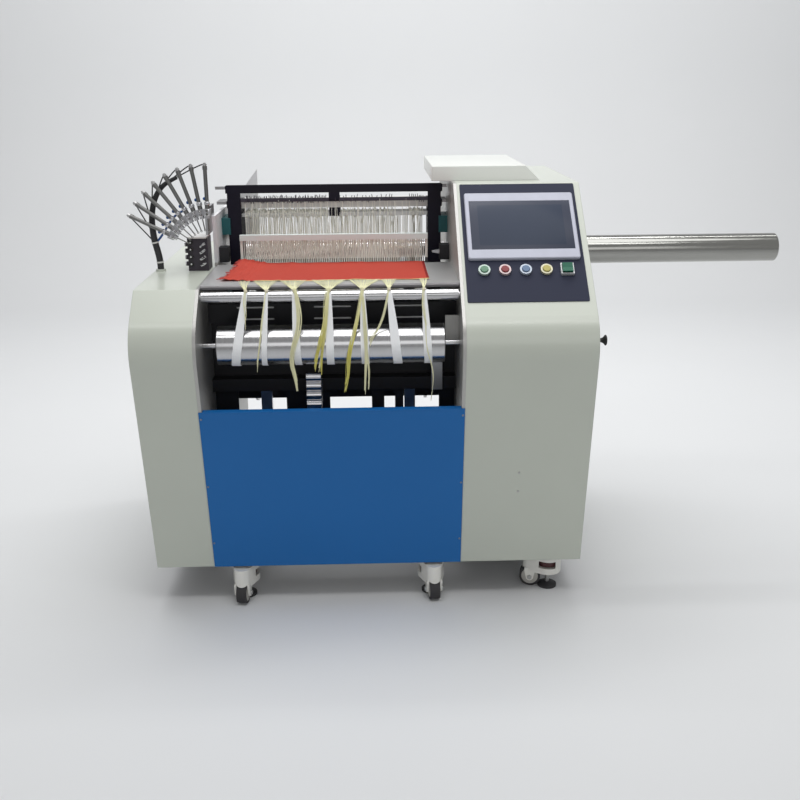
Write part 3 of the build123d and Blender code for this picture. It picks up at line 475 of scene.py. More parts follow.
def plateFinish():
    # Side plates: bare steel, with the raised rear of the left one painted pale grey
    look = dict(steel=(0.46, 0.455, 0.44), pale=(0.74, 0.74, 0.76), painted=842, left=-200, shine=0.6)
    finish = metal("sidePlateSteel", look["steel"], 0.4, (8, 8, 1), 22)
    x, z = finish.axes("xz")
    pale = (z > mm(look["painted"])) * (x < middleX + mm(look["left"]))
    finish.set({"Base Color": finish.mix(pale, finish.tone, look["pale"]),
                "Metallic": look["shine"] * (1 - pale)})
    return finish


def tableFinish():
    # Brushed table, its rolled lip painted dark as shade
    look = dict(steel=(0.64, 0.64, 0.64), lip=(0.16, 0.155, 0.16), lipShadeEnd=14.5)
    finish = metal("tableSteel", look["steel"], 0.45, (1, 30, 30), 30)
    [y] = finish.axes("y")
    # painted shade: the rolled lip at the front gets a near-black colour
    finish.set({"Base Color": finish.mix(y < rollerY + mm(look["lipShadeEnd"]), finish.tone, look["lip"])})
    return finish


def feetFinish():
    # Zinc stems, dark rubber pads and brown-red thumbwheels
    look = dict(zinc=(0.5, 0.5, 0.49), pad=(0.035, 0.035, 0.038), red=(0.07, 0.016, 0.018),
                padTop=12.5, thumbLow=63.8, thumbHigh=80.2)
    finish = Finish("feetZinc", look["zinc"], 0.35)
    [z] = finish.axes("z")
    pad = z < mm(look["padTop"])
    thumb = between(z, mm(look["thumbLow"]), mm(look["thumbHigh"]))
    bare = (1 - pad) * (1 - thumb)
    tone = finish.vary(finish.noise(scale=80, detail=4), look["zinc"], dark=0.8, light=1)
    tone = finish.mix(pad, tone, look["pad"])
    finish.set({"Base Color": finish.mix(thumb, tone, look["red"]), "Metallic": bare,
                "Roughness": 0.35 + pad * 0.35})
    finish.bump(finish.wave(90, "Z") * bare, distance=0.3, strength=0.4, edge=0.5)
    return finish


def beamFinish():
    # Wound yarn between two turned flanges
    look = dict(yarn=(0.72, 0.66, 0.5), deep=(0.5, 0.42, 0.28), metal=(0.55, 0.55, 0.56), half=253.5)
    finish = Finish("warpBeamFinish", look["metal"], 0.35)
    [x] = finish.axes("x")
    pack = within(x, look["half"])
    turns = finish.wave(160, "X", 1.5)
    finish.set({"Base Color": finish.mix(pack, look["metal"], finish.mix(turns, look["deep"], look["yarn"])),
                "Metallic": 1 - pack, "Roughness": 0.35 + pack * 0.45})
    finish.bump(turns * pack, distance=0.5, strength=0.7)
    return finish


def clothFinish(frontY, rightX):
    # Red plain weave, straw-coloured along the front edge and darker at the right edge
    look = dict(red=(0.5, 0.062, 0.04), deep=(0.36, 0.036, 0.024), edge=(0.2, 0.008, 0.006),
                straw=(0.74, 0.6, 0.3), weave=210, wander=0.6, hem=3, fray=4, side=6)
    finish = Finish("clothRed", look["red"], 0.85, Specular_IOR_Level=0.25)
    x, y = finish.axes("xy")
    weft, warp = [finish.wave(look["weave"], axis, look["wander"]) for axis in "YX"]
    bands = finish.noise(scale=9, detail=2, stretch=(1, 0.15, 1))
    tone = finish.mix(weft * warp, look["red"], look["deep"])
    tone = finish.mix(bands, shade(look["red"], 0.8), tone)
    tone = finish.mix(x > rightX - mm(look["side"]), tone, look["edge"])
    hem = around(y, finish.noise(scale=160, detail=2), mm(look["fray"])) < frontY + mm(look["hem"])
    finish.set({"Base Color": finish.mix(hem, tone, look["straw"])})
    finish.bump(weft + warp, distance=0.25, strength=0.6)
    return finish


def tapeFinish():
    # White woven tape, ribbed along its length
    look = dict(white=(0.97, 0.975, 0.98), deep=(0.86, 0.875, 0.89), ribs=3.2, picks=45)
    finish = Finish("tapeWhite", look["white"], 0.75, Sheen_Weight=0.2)
    uv = finish.node("ShaderNodeTexCoord", out="UV")
    ribs = finish.wave(look["ribs"], "X", place=uv)
    picks = finish.wave(look["picks"], "Y", place=uv)
    finish.set({"Base Color": finish.mix(ribs * picks, look["deep"], look["white"])})
    finish.bump(ribs + picks * 0.5, distance=0.25, strength=0.6)
    return finish


def hoseFinish():
    # Black braided sleeve
    look = dict(black=(0.012, 0.012, 0.014), worn=(0.05, 0.05, 0.055), braid=95, wander=2.0)
    finish = Finish("hoseBlack", look["black"], 0.5)
    braid = finish.wave(look["braid"], "DIAGONAL", look["wander"])
    wear = braid * finish.noise(scale=120, detail=3)
    finish.set({"Base Color": finish.mix(wear, look["black"], look["worn"])})
    finish.bump(braid, distance=0.5, strength=0.8)
    return finish


def screenFinish(low, high):
    # Smoked glass: the lit area is a little bluer than its border
    look = dict(border=(0.06, 0.067, 0.093), lit=(0.044, 0.054, 0.08), margin=20, top=9)
    finish = Finish("screenGlass", look["border"], 0.2, Specular_IOR_Level=0.1)
    x, z = finish.axes("xz")
    lit = between(x, low.x + mm(look["margin"]), high.x - mm(look["margin"]))
    lit = lit * between(z, low.z + mm(look["top"]), high.z - mm(look["top"]))
    tone = finish.vary(finish.noise(scale=6, detail=2), look["lit"], dark=1, light=1.15)
    finish.set({"Base Color": finish.mix(lit, look["border"], tone),
                "Roughness": 0.16 + finish.noise(scale=25, detail=4) * 0.08})
    return finish


def ringFinish():
    # Polished rings that take up some of their caps' colours
    look = dict(bright=(0.5, 0.5, 0.52), dark=(0.46, 0.47, 0.48), light=(0.54, 0.55, 0.56), reach=8)
    tints = dict(green_button=(0.42, 0.5, 0.46), red_button=(0.54, 0.44, 0.44),
                 blue_button=(0.42, 0.47, 0.54), yellow_button=(0.54, 0.52, 0.38))
    finish = Finish("ringBright", look["bright"], 0.3, 0.3)
    [x] = finish.axes("x")
    tone = finish.mix(finish.noise(scale=90, detail=4), look["dark"], look["light"])
    for name, tint in tints.items():
        left, right = (corner.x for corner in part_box(name))
        near = between(x, left - mm(look["reach"]), right + mm(look["reach"]))
        tone = finish.mix(near, tone, tint)
    finish.set({"Base Color": tone, "Roughness": 0.22 + finish.noise(scale=60, detail=3) * 0.1})
    finish.bump(finish.noise(scale=200, detail=2), distance=0.01, strength=0.4, edge=0.8)
    return finish


paints = dict(
    cabinet=paint("cabinetPaint", (0.52, 0.55, 0.485), 0.3, edge=2.5, Coat_Weight=0.25, Coat_Roughness=0.15),
    housing=paint("housingPaint", (0.695, 0.71, 0.675), 0.3, edge=2.5, Coat_Weight=0.25, Coat_Roughness=0.15),
    blue=paint("panelBlue", (0.008, 0.13, 0.4), 0.45, edge=1.2, Specular_IOR_Level=0.3),
    black=paint("frameBlack", (0.011, 0.011, 0.014), 0.45, Specular_IOR_Level=0.4),
    cream=paint("casterCream", (0.8, 0.79, 0.74), 0.28, edge=0.8, Coat_Weight=0.3),
    slate=paint("consoleSlate", (0.024, 0.028, 0.052), 0.6, peel=0.02, edge=0.4, mottle=0.04,
                Specular_IOR_Level=0.18),
)
metals = dict(
    chrome=metal("rollerChrome", (0.54, 0.54, 0.55), 0.18, (30, 1, 1), 25, scratch=0.004),
    tube=metal("tubePolished", (0.37, 0.37, 0.35), 0.16, (1, 30, 30), 25, scratch=0.0015),
    finger=metal("fingerSteel", (0.2, 0.2, 0.195), 0.34, (12, 1, 12), 60),
    bracket=metal("bracketGrey", (0.48, 0.48, 0.5), 0.36, (1, 1, 1), 80),
    alloy=metal("satinAlloy", (0.52, 0.52, 0.54), 0.33, (1, 25, 25), 30),
    nut=metal("nutBright", (0.66, 0.66, 0.68), 0.2, (1, 1, 1), 90, edge=0.4),
    screw=metal("screwZinc", (0.5, 0.5, 0.5), 0.32, (1, 1, 1), 200, edge=0.2),
    blueScrew=metal("screwBlued", (0.24, 0.28, 0.36), 0.3, (1, 1, 1), 200, edge=0.2),
    motor=metal("motorCast", (0.22, 0.23, 0.24), 0.5, (1, 1, 1), 80),
)
plastics = dict(
    teal=plastic("guideTeal", (0.006, 0.095, 0.105), 0.5),
    bezel=plastic("bezelSilver", (0.45, 0.465, 0.55), 0.42, edge=1.2),
    green=plastic("capGreen", (0.1, 0.23, 0.14), 0.35),
    red=plastic("capRed", (0.2, 0.01, 0.014), 0.35),
    blue=plastic("capBlue", (0.1, 0.17, 0.29), 0.35),
    yellow=plastic("capYellow", (0.42, 0.37, 0.09), 0.35),
    rocker=plastic("rockerGreen", (0.006, 0.115, 0.065), 0.35, Specular_IOR_Level=0.3),
    knob=plastic("knobBlack", (0.01, 0.01, 0.011), 0.45),
    tread=plastic("treadDark", (0.035, 0.033, 0.035), 0.7, grain=0.15),
    hub=plastic("hubGrey", (0.42, 0.41, 0.38), 0.45),
    tie=plastic("tieNatural", (0.62, 0.62, 0.6), 0.5),
    liner=plastic("linerWhite", (0.92, 0.93, 0.93), 0.4),
    fitting=plastic("fittingBlue", (0.014, 0.09, 0.3), 0.35),
    loop=plastic("loopGrey", (0.06, 0.052, 0.072), 0.5),
)
yarns = dict(
    cream=yarn("yarnCream", (0.78, 0.72, 0.56), (0.6, 0.53, 0.37)),
    straw=yarn("yarnStraw", (0.84, 0.83, 0.6), (0.7, 0.68, 0.4)),
    gold=goldFinish(),
    red=yarn("yarnRed", (0.5, 0.045, 0.03), (0.34, 0.022, 0.015)),
    wire=yarn("healdCord", (0.95, 0.95, 0.88), (0.84, 0.82, 0.72)),
    warp=yarn("yarnWarp", (0.9, 0.88, 0.8), (0.74, 0.71, 0.6)),
)
print("finishes made")


def dress(piece, finish):
    piece.data.materials.clear()
    piece.data.materials.append(finish.material)
    return piece


def fit(piece, finish, slot, body="machine"):
    dress(piece, finish)
    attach(piece, body)
    return piece


sidePlate = plateFinish()
nodeFinishes = dict(
    base_frame=paints["black"], left_side_plate=sidePlate, right_side_plate=sidePlate,
    left_cover=paints["cabinet"], right_cover=paints["cabinet"], top_housing=paints["housing"],
    levelling_feet=feetFinish(), rear_casters=paints["cream"], front_panel=paints["blue"],
    breast_plate=tableFinish(), take_up_roller=metals["chrome"], take_up_motor=metals["motor"],
    breast_roller=metals["chrome"], cross_beams=crossBeamFinish(), drag_strip=metals["nut"],
    sley=metals["alloy"], reed=reedFinish(), heald_cylinders=metals["alloy"],
    heald_guides=plastics["teal"], selector_bracket=metals["bracket"], selector_cylinders=metals["finger"],
    tension_block=blockFinish(), rapier=metals["alloy"], rapier_tube=metals["tube"],
    rapier_guide=paints["black"], warp_beam=beamFinish(), back_rest=metals["chrome"],
    console_plate=paints["slate"], touch_screen=plastics["bezel"], button_rings=ringFinish(),
    green_button=plastics["green"], red_button=plastics["red"], blue_button=plastics["blue"],
    yellow_button=plastics["yellow"], power_switch=plastics["rocker"], side_knob=plastics["knob"],
)
families = dict(
    heald_frame=healdFrameFinish("healdFrameLow", drop=42, rod=(0.68, 0.68, 0.68), rail=(0.74, 0.74, 0.72)),
    selector_rod=metals["finger"], caster_fork=paints["cream"], caster_wheel=plastics["tread"],
)
for name in nodes:
    family = name.rstrip("0123456789").rstrip("_")
    if family in families:
        nodeFinishes[name] = families[family]
nodeFinishes["heald_frame_1"] = healdFrameFinish("healdFrameHigh", drop=0, rod=(0.075, 0.07, 0.09),
                                                 rail=(0.008, 0.007, 0.014))
for name, finish in nodeFinishes.items():
    dress(nodes[name], finish)
print("frame dressed:", len(nodeFinishes), "nodes")

# Red cloth on the breast plate, one corner pulled out to the left

cloth = dict(
    half=240, front=60, rear=315, level=836.4, thick=1.0, columns=180, rows=80,
    wave=0.8, lift=1.2, swellX=31, swellY=47, ripple=0.6, rippleX=13, rippleY=29,
    folds=((-226, 3.2, 5), (-212, 2.2, 4), (-197, 2.6, 5), (-120, 1.1, 7), (64, 1, 8)),
    foldLean=0.07, foldY=190, pulled=80, cornerReach=27, cornerRise=15, hemRise=2.5, hemBack=14,
    rearForward=7, hemWave=1.6, hemPitch=23, tear=0.86, notches=((0.1, 17, 0), (0.07, 41, 1)),
)
fray = dict(seed=3, ends=90, reach=(3, 13), drift=7, lift=(0.2, 2), root=3, rest=0.4, thread=0.5)


def clothY(share):    # from the front edge to the rear one
    return cloth["front"] + (cloth["rear"] - cloth["front"]) * share


def clothShape(x, y):
    # Where a point of the flat cut lies, in millimetres
    depth = (y - cloth["front"]) / (cloth["rear"] - cloth["front"])
    left = max(0.0, (-x - cloth["half"] + cloth["pulled"]) / cloth["pulled"])
    ragged = 1 - cloth["tear"] * depth
    ragged += sum(size * math.sin(pitch * depth + start) for size, pitch, start in cloth["notches"])
    swell = math.sin(x / cloth["swellX"]) * math.sin(y / cloth["swellY"])
    ripple = cloth["ripple"] * math.sin(x / cloth["rippleX"] + y / cloth["rippleY"])
    z = cloth["wave"] * (cloth["lift"] + swell + ripple)
    for middle, height, width in cloth["folds"]:
        z += height * math.exp(-((x - middle - cloth["foldLean"] * (y - cloth["foldY"])) / width) ** 2)
    z += cloth["cornerRise"] * left ** 2 * depth ** 3 + cloth["hemRise"] * left ** 3 * (1 - depth)
    x -= cloth["cornerReach"] * left ** 2 * ragged
    y += cloth["hemBack"] * left * (1 - depth) ** 2 - cloth["rearForward"] * left * depth
    y += cloth["hemWave"] * math.sin(x / cloth["hemPitch"]) * (1 - depth) ** 3
    return x, y, cloth["level"] + max(z, 0)


def makeCloth():
    piece = gridPiece("wovenCloth", cloth["columns"], cloth["rows"], lambda across, along: at(
        *clothShape(2 * cloth["half"] * across, clothY(along + 0.5))))
    applyModifier(piece, "SOLIDIFY", thickness=mm(cloth["thick"]), offset=1)
    smooth(piece, tool["soft"])
    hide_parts("woven_cloth")
    finish = clothFinish(at(0, cloth["front"], 0).y, at(cloth["half"], 0, 0).x)
    return fit(piece, finish, "cloth_red")


def makeFray():
    # Loose red ends along the pulled edge
    rng = random.Random(fray["seed"])
    lines = []
    for step in range(fray["ends"]):
        x, y, z = clothShape(-cloth["half"], clothY(rng.random()))
        reach = rng.uniform(*fray["reach"])
        drift = rng.uniform(-fray["drift"], fray["drift"])
        middle = at(x - reach * 0.5, y + drift * 0.3, z + rng.uniform(*fray["lift"]))
        lines.append([at(x + fray["root"], y, z + fray["rest"]), middle,
                      at(x - reach, y + drift, max(cloth["level"] + fray["rest"], z - 1))])
    piece = strandPiece("clothFray", lines, fray["thread"], curly=True)
    return fit(piece, yarns["red"], "cloth_red")


clothPiece = makeCloth()
frayPiece = makeFray()

# Yarn fans that gather the warp ends into knots, and the tapes that lead them to the take-up roller

leader = dict(
    knotX=(-200, -151, -85, -2, 77, 140, 223),
    footX=(-229, -160, -79, -2, 82, 160, 233),
    footWidth=(21, 13, 17, 18, 19, 21.5, 19),
    fanLeft=(-226, -190, -124, -48, 42, 122, 214),
    fanRight=(-196, -130, -60, 36, 120, 160, 236),
    threads=(10, 22, 26, 36, 34, 17, 9),
    knotY=-5, knotZ=826.6,
)
tape = dict(
    columns=6, rows=60, thick=0.7, knotWidth=8, meet=112, wrap=125, meetSteps=4, wrapSteps=18,
    widen=2.2, widenBy=0.7, drift=1.25, cup=1.2, cupEnd=2.5, forward=0.4,
    flutter=0.5, flutterPitch=9, flutterAt=0.3, flutterEnd=5,
)
breastRoll = dict(y=0, z=811, radius=14.6)
takeUpRoll = dict(y=0, z=693, radius=49.4)
tapeLean = math.asin((takeUpRoll["radius"] - breastRoll["radius"]) / (breastRoll["z"] - takeUpRoll["z"]))


def rollPoint(roll, angle):    # on the round of a roller, as (y, z)
    return roll["y"] + roll["radius"] * math.cos(angle), roll["z"] + roll["radius"] * math.sin(angle)


def rollPoints(roll, start, end, steps):
    return [rollPoint(roll, start + (end - start) * step / steps) for step in range(steps + 1)]


def tapePath(count):
    # From the knot over the breast roller, down to the take-up roller and round its front, in even steps
    leave = math.pi - tapeLean
    points = [(leader["knotY"], leader["knotZ"])]
    points += rollPoints(breastRoll, math.radians(tape["meet"]), leave, tape["meetSteps"])
    points += rollPoints(takeUpRoll, leave, leave + math.radians(tape["wrap"]), tape["wrapSteps"])
    lengths = [0]
    for (ya, za), (yb, zb) in zip(points, points[1:]):
        lengths.append(lengths[-1] + math.hypot(yb - ya, zb - za))
    spread = []
    for step in range(count + 1):
        target = lengths[-1] * step / count
        place = max(index for index, length in enumerate(lengths) if length <= target + 1e-9)
        place = min(place, len(points) - 2)
        share = (target - lengths[place]) / (lengths[place + 1] - lengths[place])
        spread.append(tuple(a + (b - a) * share for a, b in zip(points[place], points[place + 1])))
    return spread, lengths[-1]


tapeLine, tapeLength = tapePath(tape["rows"])
tapeCover = tapeFinish()


def makeTape(number, knotX, footX, width):
    def place(across, up):
        share = 0.5 - up
        y, z = tapeLine[round(share * tape["rows"])]
        widened = min(1, share * tape["widen"]) ** tape["widenBy"]
        spread = tape["knotWidth"] + (width - tape["knotWidth"]) * widened
        x = knotX + (footX - knotX) * min(1, share * tape["drift"]) + across * spread
        cup = tape["cup"] * (1 - min(1, share * tape["cupEnd"])) * (2 * across) ** 2
        flutter = tape["flutter"] * math.sin(tape["flutterPitch"] * share + number)
        flutter *= max(0, 1 - abs(share - tape["flutterAt"]) * tape["flutterEnd"])
        return at(x, y + cup - tape["forward"] - abs(flutter), z)

    piece = gridPiece(f"leaderTape{number}", tape["columns"], tape["rows"], place)
    applyModifier(piece, "SOLIDIFY", thickness=mm(tape["thick"]), offset=0)
    smooth(piece, tool["soft"])
    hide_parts("leader_tapes")
    mm(width)
    mm(tapeLength)
    return fit(piece, tapeCover, "tape_white")


spray = dict(seed=11, stray=1, gather=0.05, lip=(0.52, 0.6), start=(64, 838.2), edge=(14, 837.3), end=(6, 4),
             thread=0.6)


def makeFans():
    rng = random.Random(spray["seed"])
    lines = []
    fans = zip(leader["knotX"], leader["fanLeft"], leader["fanRight"], leader["threads"])
    for knotX, left, right, count in fans:
        for step in range(count):
            start = left + (right - left) * (step + 0.5) / count
            start += rng.uniform(-spray["stray"], spray["stray"])
            gather = knotX + (start - knotX) * spray["gather"]
            lip = knotX + (start - knotX) * rng.uniform(*spray["lip"])
            lines.append([at(start, *spray["start"]), at(lip, *spray["edge"]),
                          at(gather, leader["knotY"], leader["knotZ"]),
                          at(gather, leader["knotY"] - spray["end"][0], leader["knotZ"] - spray["end"][1])])
    return fit(strandPiece("yarnFans", lines, spray["thread"]), yarns["straw"], "yarn_cream")


knot = dict(points=31, turn=9, wide=3.4, deep=1.6, tall=2.2, forward=1, up=1.4, creepY=0.09, creepZ=0.11,
            thread=1.3)


def makeKnots():
    lines = []
    for knotX in leader["knotX"]:
        coil = []
        for step in range(knot["points"]):
            turn = 2 * math.pi * step / knot["turn"]
            y = leader["knotY"] - knot["forward"] - knot["deep"] * math.sin(turn) - step * knot["creepY"]
            z = leader["knotZ"] + knot["up"] + knot["tall"] * math.sin(turn) - step * knot["creepZ"]
            coil.append(at(knotX + knot["wide"] * math.cos(turn), y, z))
        lines.append(coil)
    piece = strandPiece("yarnKnots", lines, knot["thread"], curly=True, sides=1)
    return fit(piece, yarns["cream"], "yarn_cream")


# Each loose bundle: threads, spread and its path as (x, z)
tails = dict(
    straw=(
        (4, 2.2, ((-200, 832), (-204, 810), (-200, 770), (-201, 751))),
        (8, 3.2, ((-151, 832), (-160, 777), (-166, 724), (-172, 684), (-176, 652))),
        (22, 5.4, ((-84, 832), (-76, 802), (-73, 762), (-77, 733), (-90, 696), (-94, 661), (-87, 632),
                   (-83, 603))),
        (5, 2.6, ((-2, 832), (-6, 790), (-12, 735), (-19, 690), (-30, 640))),
        (12, 3.8, ((77, 832), (80, 760), (83, 707), (83, 651), (79, 586))),
        (9, 3.2, ((78, 832), (84, 736), (87, 673), (92, 629), (88, 604))),
        (6, 3.0, ((76, 832), (70, 790), (58, 745), (48, 700))),
        (9, 2.6, ((140, 832), (132, 786), (118, 746), (100, 720), (93, 707))),
        (6, 3.0, ((223, 832), (219, 798), (222, 771), (228, 745))),
        (3, 1.2, ((224, 832), (226, 745), (227, 692), (241, 649), (245, 612), (238, 569))),
    ),
    gold=(
        (18, 5.2, ((-3, 832), (-10, 794), (-15, 748), (-24, 715), (-32, 682), (-39, 650))),
        (14, 4.8, ((-4, 832), (-8, 814), (-13, 742), (-21, 695), (-24, 642))),
        (18, 4.6, ((77, 832), (67, 774), (56, 734), (45, 694), (40, 652), (39, 619), (32, 598))),
    ),
)
tail = dict(gap=2.2, least=6, cut=(-12, 14), stray=0.14, strayReach=1.8, forward=0.45, narrow=0.3, wobble=0.4,
            thread=0.62)


def tailFront(z):    # just in front of the rollers and the tapes
    top = breastRoll["radius"] + tail["gap"]
    if z > breastRoll["z"] + top * math.sin(tapeLean):
        return -math.sqrt(max(top ** 2 - (z - breastRoll["z"]) ** 2, tail["least"] ** 2))
    out = takeUpRoll["radius"] + tail["gap"]
    return -min(out, (out - math.sin(tapeLean) * (z - takeUpRoll["z"])) / math.cos(tapeLean))


def makeTails(colour):
    # Loose warp ends that hang from the knots in front of the rollers
    rng = random.Random(len(colour))
    lines = []
    for count, spread, path in tails[colour]:
        for step in range(count):
            turn = rng.uniform(0, 2 * math.pi)
            reach = spread * math.sqrt(rng.random())
            cut = rng.uniform(*tail["cut"])
            if rng.random() < tail["stray"]:
                reach *= tail["strayReach"]
            line = []
            for index, (x, z) in enumerate(path):
                share = index / (len(path) - 1)
                swell = tail["narrow"] + (1 - tail["narrow"]) * math.sin(math.pi * min(1, 0.9 * share + 0.1))
                wide = reach * swell * (1 + tail["wobble"] * math.sin(6 * share + 3 * turn))
                y = tailFront(z) + tail["forward"] * (wide * math.sin(turn) - spread)
                line.append(at(x + wide * math.cos(turn), y, z + cut * share ** 4))
            lines.append(line)
    piece = strandPiece(f"yarnTails_{colour}", lines, tail["thread"], curly=True)
    return fit(piece, yarns[colour], "yarn_cream")


for number, (knotX, footX, width) in enumerate(zip(leader["knotX"], leader["footX"], leader["footWidth"]), 1):
    makeTape(number, knotX, footX, width)
yarnPieces = [frayPiece, makeFans(), makeKnots(), makeTails("straw"), makeTails("gold")]
mm(2 * cloth["half"])
mm(cloth["rear"] - cloth["front"])
print("cloth, yarn fans and leader tapes made")

# Heald cords and the warp threads that pass their eyes

heald = dict(
    frames=6, front=425, pitch=15, thick=8, stroke=42, rodHigh=992, rodLow=726, eyeFirst=917, eyeRest=908,
    plain=44, sway=2.2, slack=2, seed=20, cord=0.62, thread=0.4,
    threaded=((-241, 174), (196, 203), (213, 236)), eye=((0.6, -6), (0.85, -3), (0.85, 3), (0.6, 6)),
)
loop = dict(seed=40, radius=6.2, thick=0.9, squeeze=(1.35, 0.62, 1), stray=0.7, tilt=0.25, height=(-1, 5),
            runs=((-246, -20, 58), (0, 165, 16), (206, 246, 8)))
reedGaps = dict(count=100, half=244, pair=0.7, fellY=315, fellZ=837.7, backY=523, backZ=837.2)


def healdDrop(number):
    return 0 if number == 1 else heald["stroke"]


def healdY(number):
    return heald["front"] + heald["pitch"] * (number - 1) + heald["thick"] / 2


def healdEye(number):
    return (heald["eyeFirst"] if number == 1 else heald["eyeRest"]) - healdDrop(number)


def warpSpots(number):
    # Where the threads of one frame pass the reed, two to a gap, the frames in turn
    pitch = 2 * reedGaps["half"] / reedGaps["count"]
    spots = []
    for gap in range(reedGaps["count"]):
        for side in (0, 1):
            x = (gap - (reedGaps["count"] - 1) / 2) * pitch + (2 * side - 1) * reedGaps["pair"]
            threaded = any(left < x < right for left, right in heald["threaded"])
            if threaded and (2 * gap + side) % heald["frames"] + 1 == number:
                spots.append(x)
    return spots


def makeHealdCords(number):
    # One cord to each thread: plumb where other threads pass, slack near the rods
    rng = random.Random(heald["seed"] + number)
    top = heald["rodHigh"] - healdDrop(number)
    low = heald["rodLow"] - healdDrop(number)
    eye = healdEye(number)
    y = healdY(number)
    plain, sway, slack = heald["plain"], heald["sway"], heald["slack"]
    lines, eyes = [], []
    for x in warpSpots(number):
        headX = x + rng.gauss(0, sway)
        footX = x + rng.gauss(0, 2 * sway)
        lines.append([at(headX, y + rng.uniform(-slack, slack), top), at(x, y, eye + plain), at(x, y, eye),
                      at(x, y, eye - 2 * plain), at(footX, y + rng.uniform(-slack, slack), low)])
        eyes.append(Matrix.Translation(at(x, y, eye)))
    model = turnPiece("healdEye", heald["eye"], sides=6)
    cords = [strandPiece("healdCord", lines, heald["cord"]), repeated("healdEyes", model, eyes)]
    return fit(joined(f"healdCords{number}", cords), yarns["wire"], "yarn_cream", f"heald_frame_{number}")


def makeHealdLoops(number):
    # Loops that hang the cords on the upper rod
    rng = random.Random(loop["seed"] + number)
    deselect()
    bpy.ops.mesh.primitive_torus_add(major_segments=10, minor_segments=5, major_radius=mm(loop["radius"]),
                                     minor_radius=mm(loop["thick"]))
    model = named("healdLoop")
    bpy.ops.object.mode_set(mode="EDIT")
    bpy.ops.mesh.select_all(action="SELECT")
    bpy.ops.transform.resize(value=loop["squeeze"], center_override=(0, 0, 0))
    bpy.ops.object.mode_set(mode="OBJECT")
    smooth(model, tool["soft"])
    matrices = []
    for left, right, count in loop["runs"]:
        for step in range(count):
            x = left + (right - left) * (step + rng.random() * loop["stray"]) / count
            turn = Matrix.Rotation(math.pi / 2 + rng.uniform(-loop["tilt"], loop["tilt"]), 4, "Y")
            z = heald["rodHigh"] - healdDrop(number) + rng.uniform(*loop["height"])
            matrices.append(Matrix.Translation(at(x, healdY(number), z)) @ turn)
    piece = repeated(f"healdLoops{number}", model, matrices)
    finish = plastics["loop"] if number == 1 else yarns["wire"]
    return fit(piece, finish, "heald_black", f"heald_frame_{number}")


def makeWarp(number):
    # One half runs from the cloth to the eyes, the other from the eyes to the back
    body = f"heald_frame_{number}"
    fell = (reedGaps["fellY"], reedGaps["fellZ"])
    eye = (healdY(number), healdEye(number))
    back = (reedGaps["backY"], reedGaps["backZ"])
    halves = (("warpFront", "machine", fell, body, eye), ("warpBack", body, eye, "machine", back))
    for name, startBody, start, endBody, end in halves:
        lines = [[at(x, *start), at(x, *end)] for x in warpSpots(number)]
        piece = dress(strandPiece(f"{name}{number}", lines, heald["thread"]), yarns["warp"])
        at(0, *start)
        at(0, *end)
        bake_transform(piece)


warpBeam = dict(y=650, z=480, radius=89)
backRest = dict(y=700, z=811, radius=25.9)
warpSheet = dict(half=242, threads=160, thread=0.7, bend=6, past=3)


def makeWarpSheet():
    # Threads from the warp beam over the back rest
    spanY = backRest["y"] - warpBeam["y"]
    spanZ = backRest["z"] - warpBeam["z"]
    span = math.hypot(spanY, spanZ)
    tangent = math.atan2(spanZ, spanY) - math.acos((warpBeam["radius"] - backRest["radius"]) / span)
    route = [rollPoint(warpBeam, tangent), *rollPoints(backRest, tangent, math.pi / 2, warpSheet["bend"]),
             (reedGaps["backY"] - warpSheet["past"], backRest["z"] + backRest["radius"])]
    lines = []
    for step in range(warpSheet["threads"]):
        x = -warpSheet["half"] + 2 * warpSheet["half"] * (step + 0.5) / warpSheet["threads"]
        lines.append([at(x, y, z) for y, z in route])
    piece = strandPiece("warpSheet", lines, warpSheet["thread"])
    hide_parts("warp_sheet")
    return fit(piece, yarns["cream"], "yarn_cream")


for number in range(1, heald["frames"] + 1):
    makeHealdCords(number)
    makeHealdLoops(number)
    makeWarp(number)
makeWarpSheet()
print("heald cords and warp made")

# Air hose from the left cabinet, its thin branches and the fan's fittings

fan = dict(x=-316, y=232, z=880, fingers=8, pitch=9.1, tip=220, root=114, arc=97, arcHalf=6)
hose = dict(
    diameter=17, length=0.2647, tiesAt=(0.06, 0.29), tieWidth=4, tieIn=0.2, tieOut=0.9,
    taper=(1, 1, 1, 1, 0.95, 0.9, 0.84, 0.76, 0.66, 0.56),
    route=((-449, 250, 838), (-449, 250, 857), (-453, 250, 882), (-460, 250, 912), (-463, 250, 947),
           (-461, 250, 982), (-453, 250, 1014), (-438, 250, 1041), (-416, 250, 1060), (-391, 250, 1071)),
)


def fingerWay(number):
    angle = math.radians(90 + (number - 1) * fan["pitch"])
    return Vector((math.cos(angle), 0, math.sin(angle)))


def fingerPoint(number, radius, forward=0):
    way = fingerWay(number)
    return at(fan["x"] + way.x * radius, fan["y"] - forward, fan["z"] + way.z * radius)


def spotOn(line, share):    # which point of a line is this far along it
    return int(share * (len(line) - 1))


def makeHose():
    piece = cordPiece("airHose", [at(*point) for point in hose["route"]], hose["diameter"])
    for point, share in zip(piece.data.splines[0].points, hose["taper"]):
        point.radius = share
    fit(piece, hoseFinish(), "hose_black")
    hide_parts("air_hose")
    line = curvePoints(piece)
    inner = hose["diameter"] / 2 - hose["tieIn"]
    outer = hose["diameter"] / 2 + hose["tieOut"]
    ties = []
    for share in hose["tiesAt"]:
        spot = spotOn(line, share)
        ring = ringPiece("hoseTie", inner, outer, hose["tieWidth"], sides=32)
        ties.append(aim(ring, line[spot], line[spot + 1] - line[spot]))
    tie = fit(joined("hoseTies", ties), plastics["tie"], "hose_black")
    at(*hose["route"][0])
    mm(hose["diameter"])
    return line


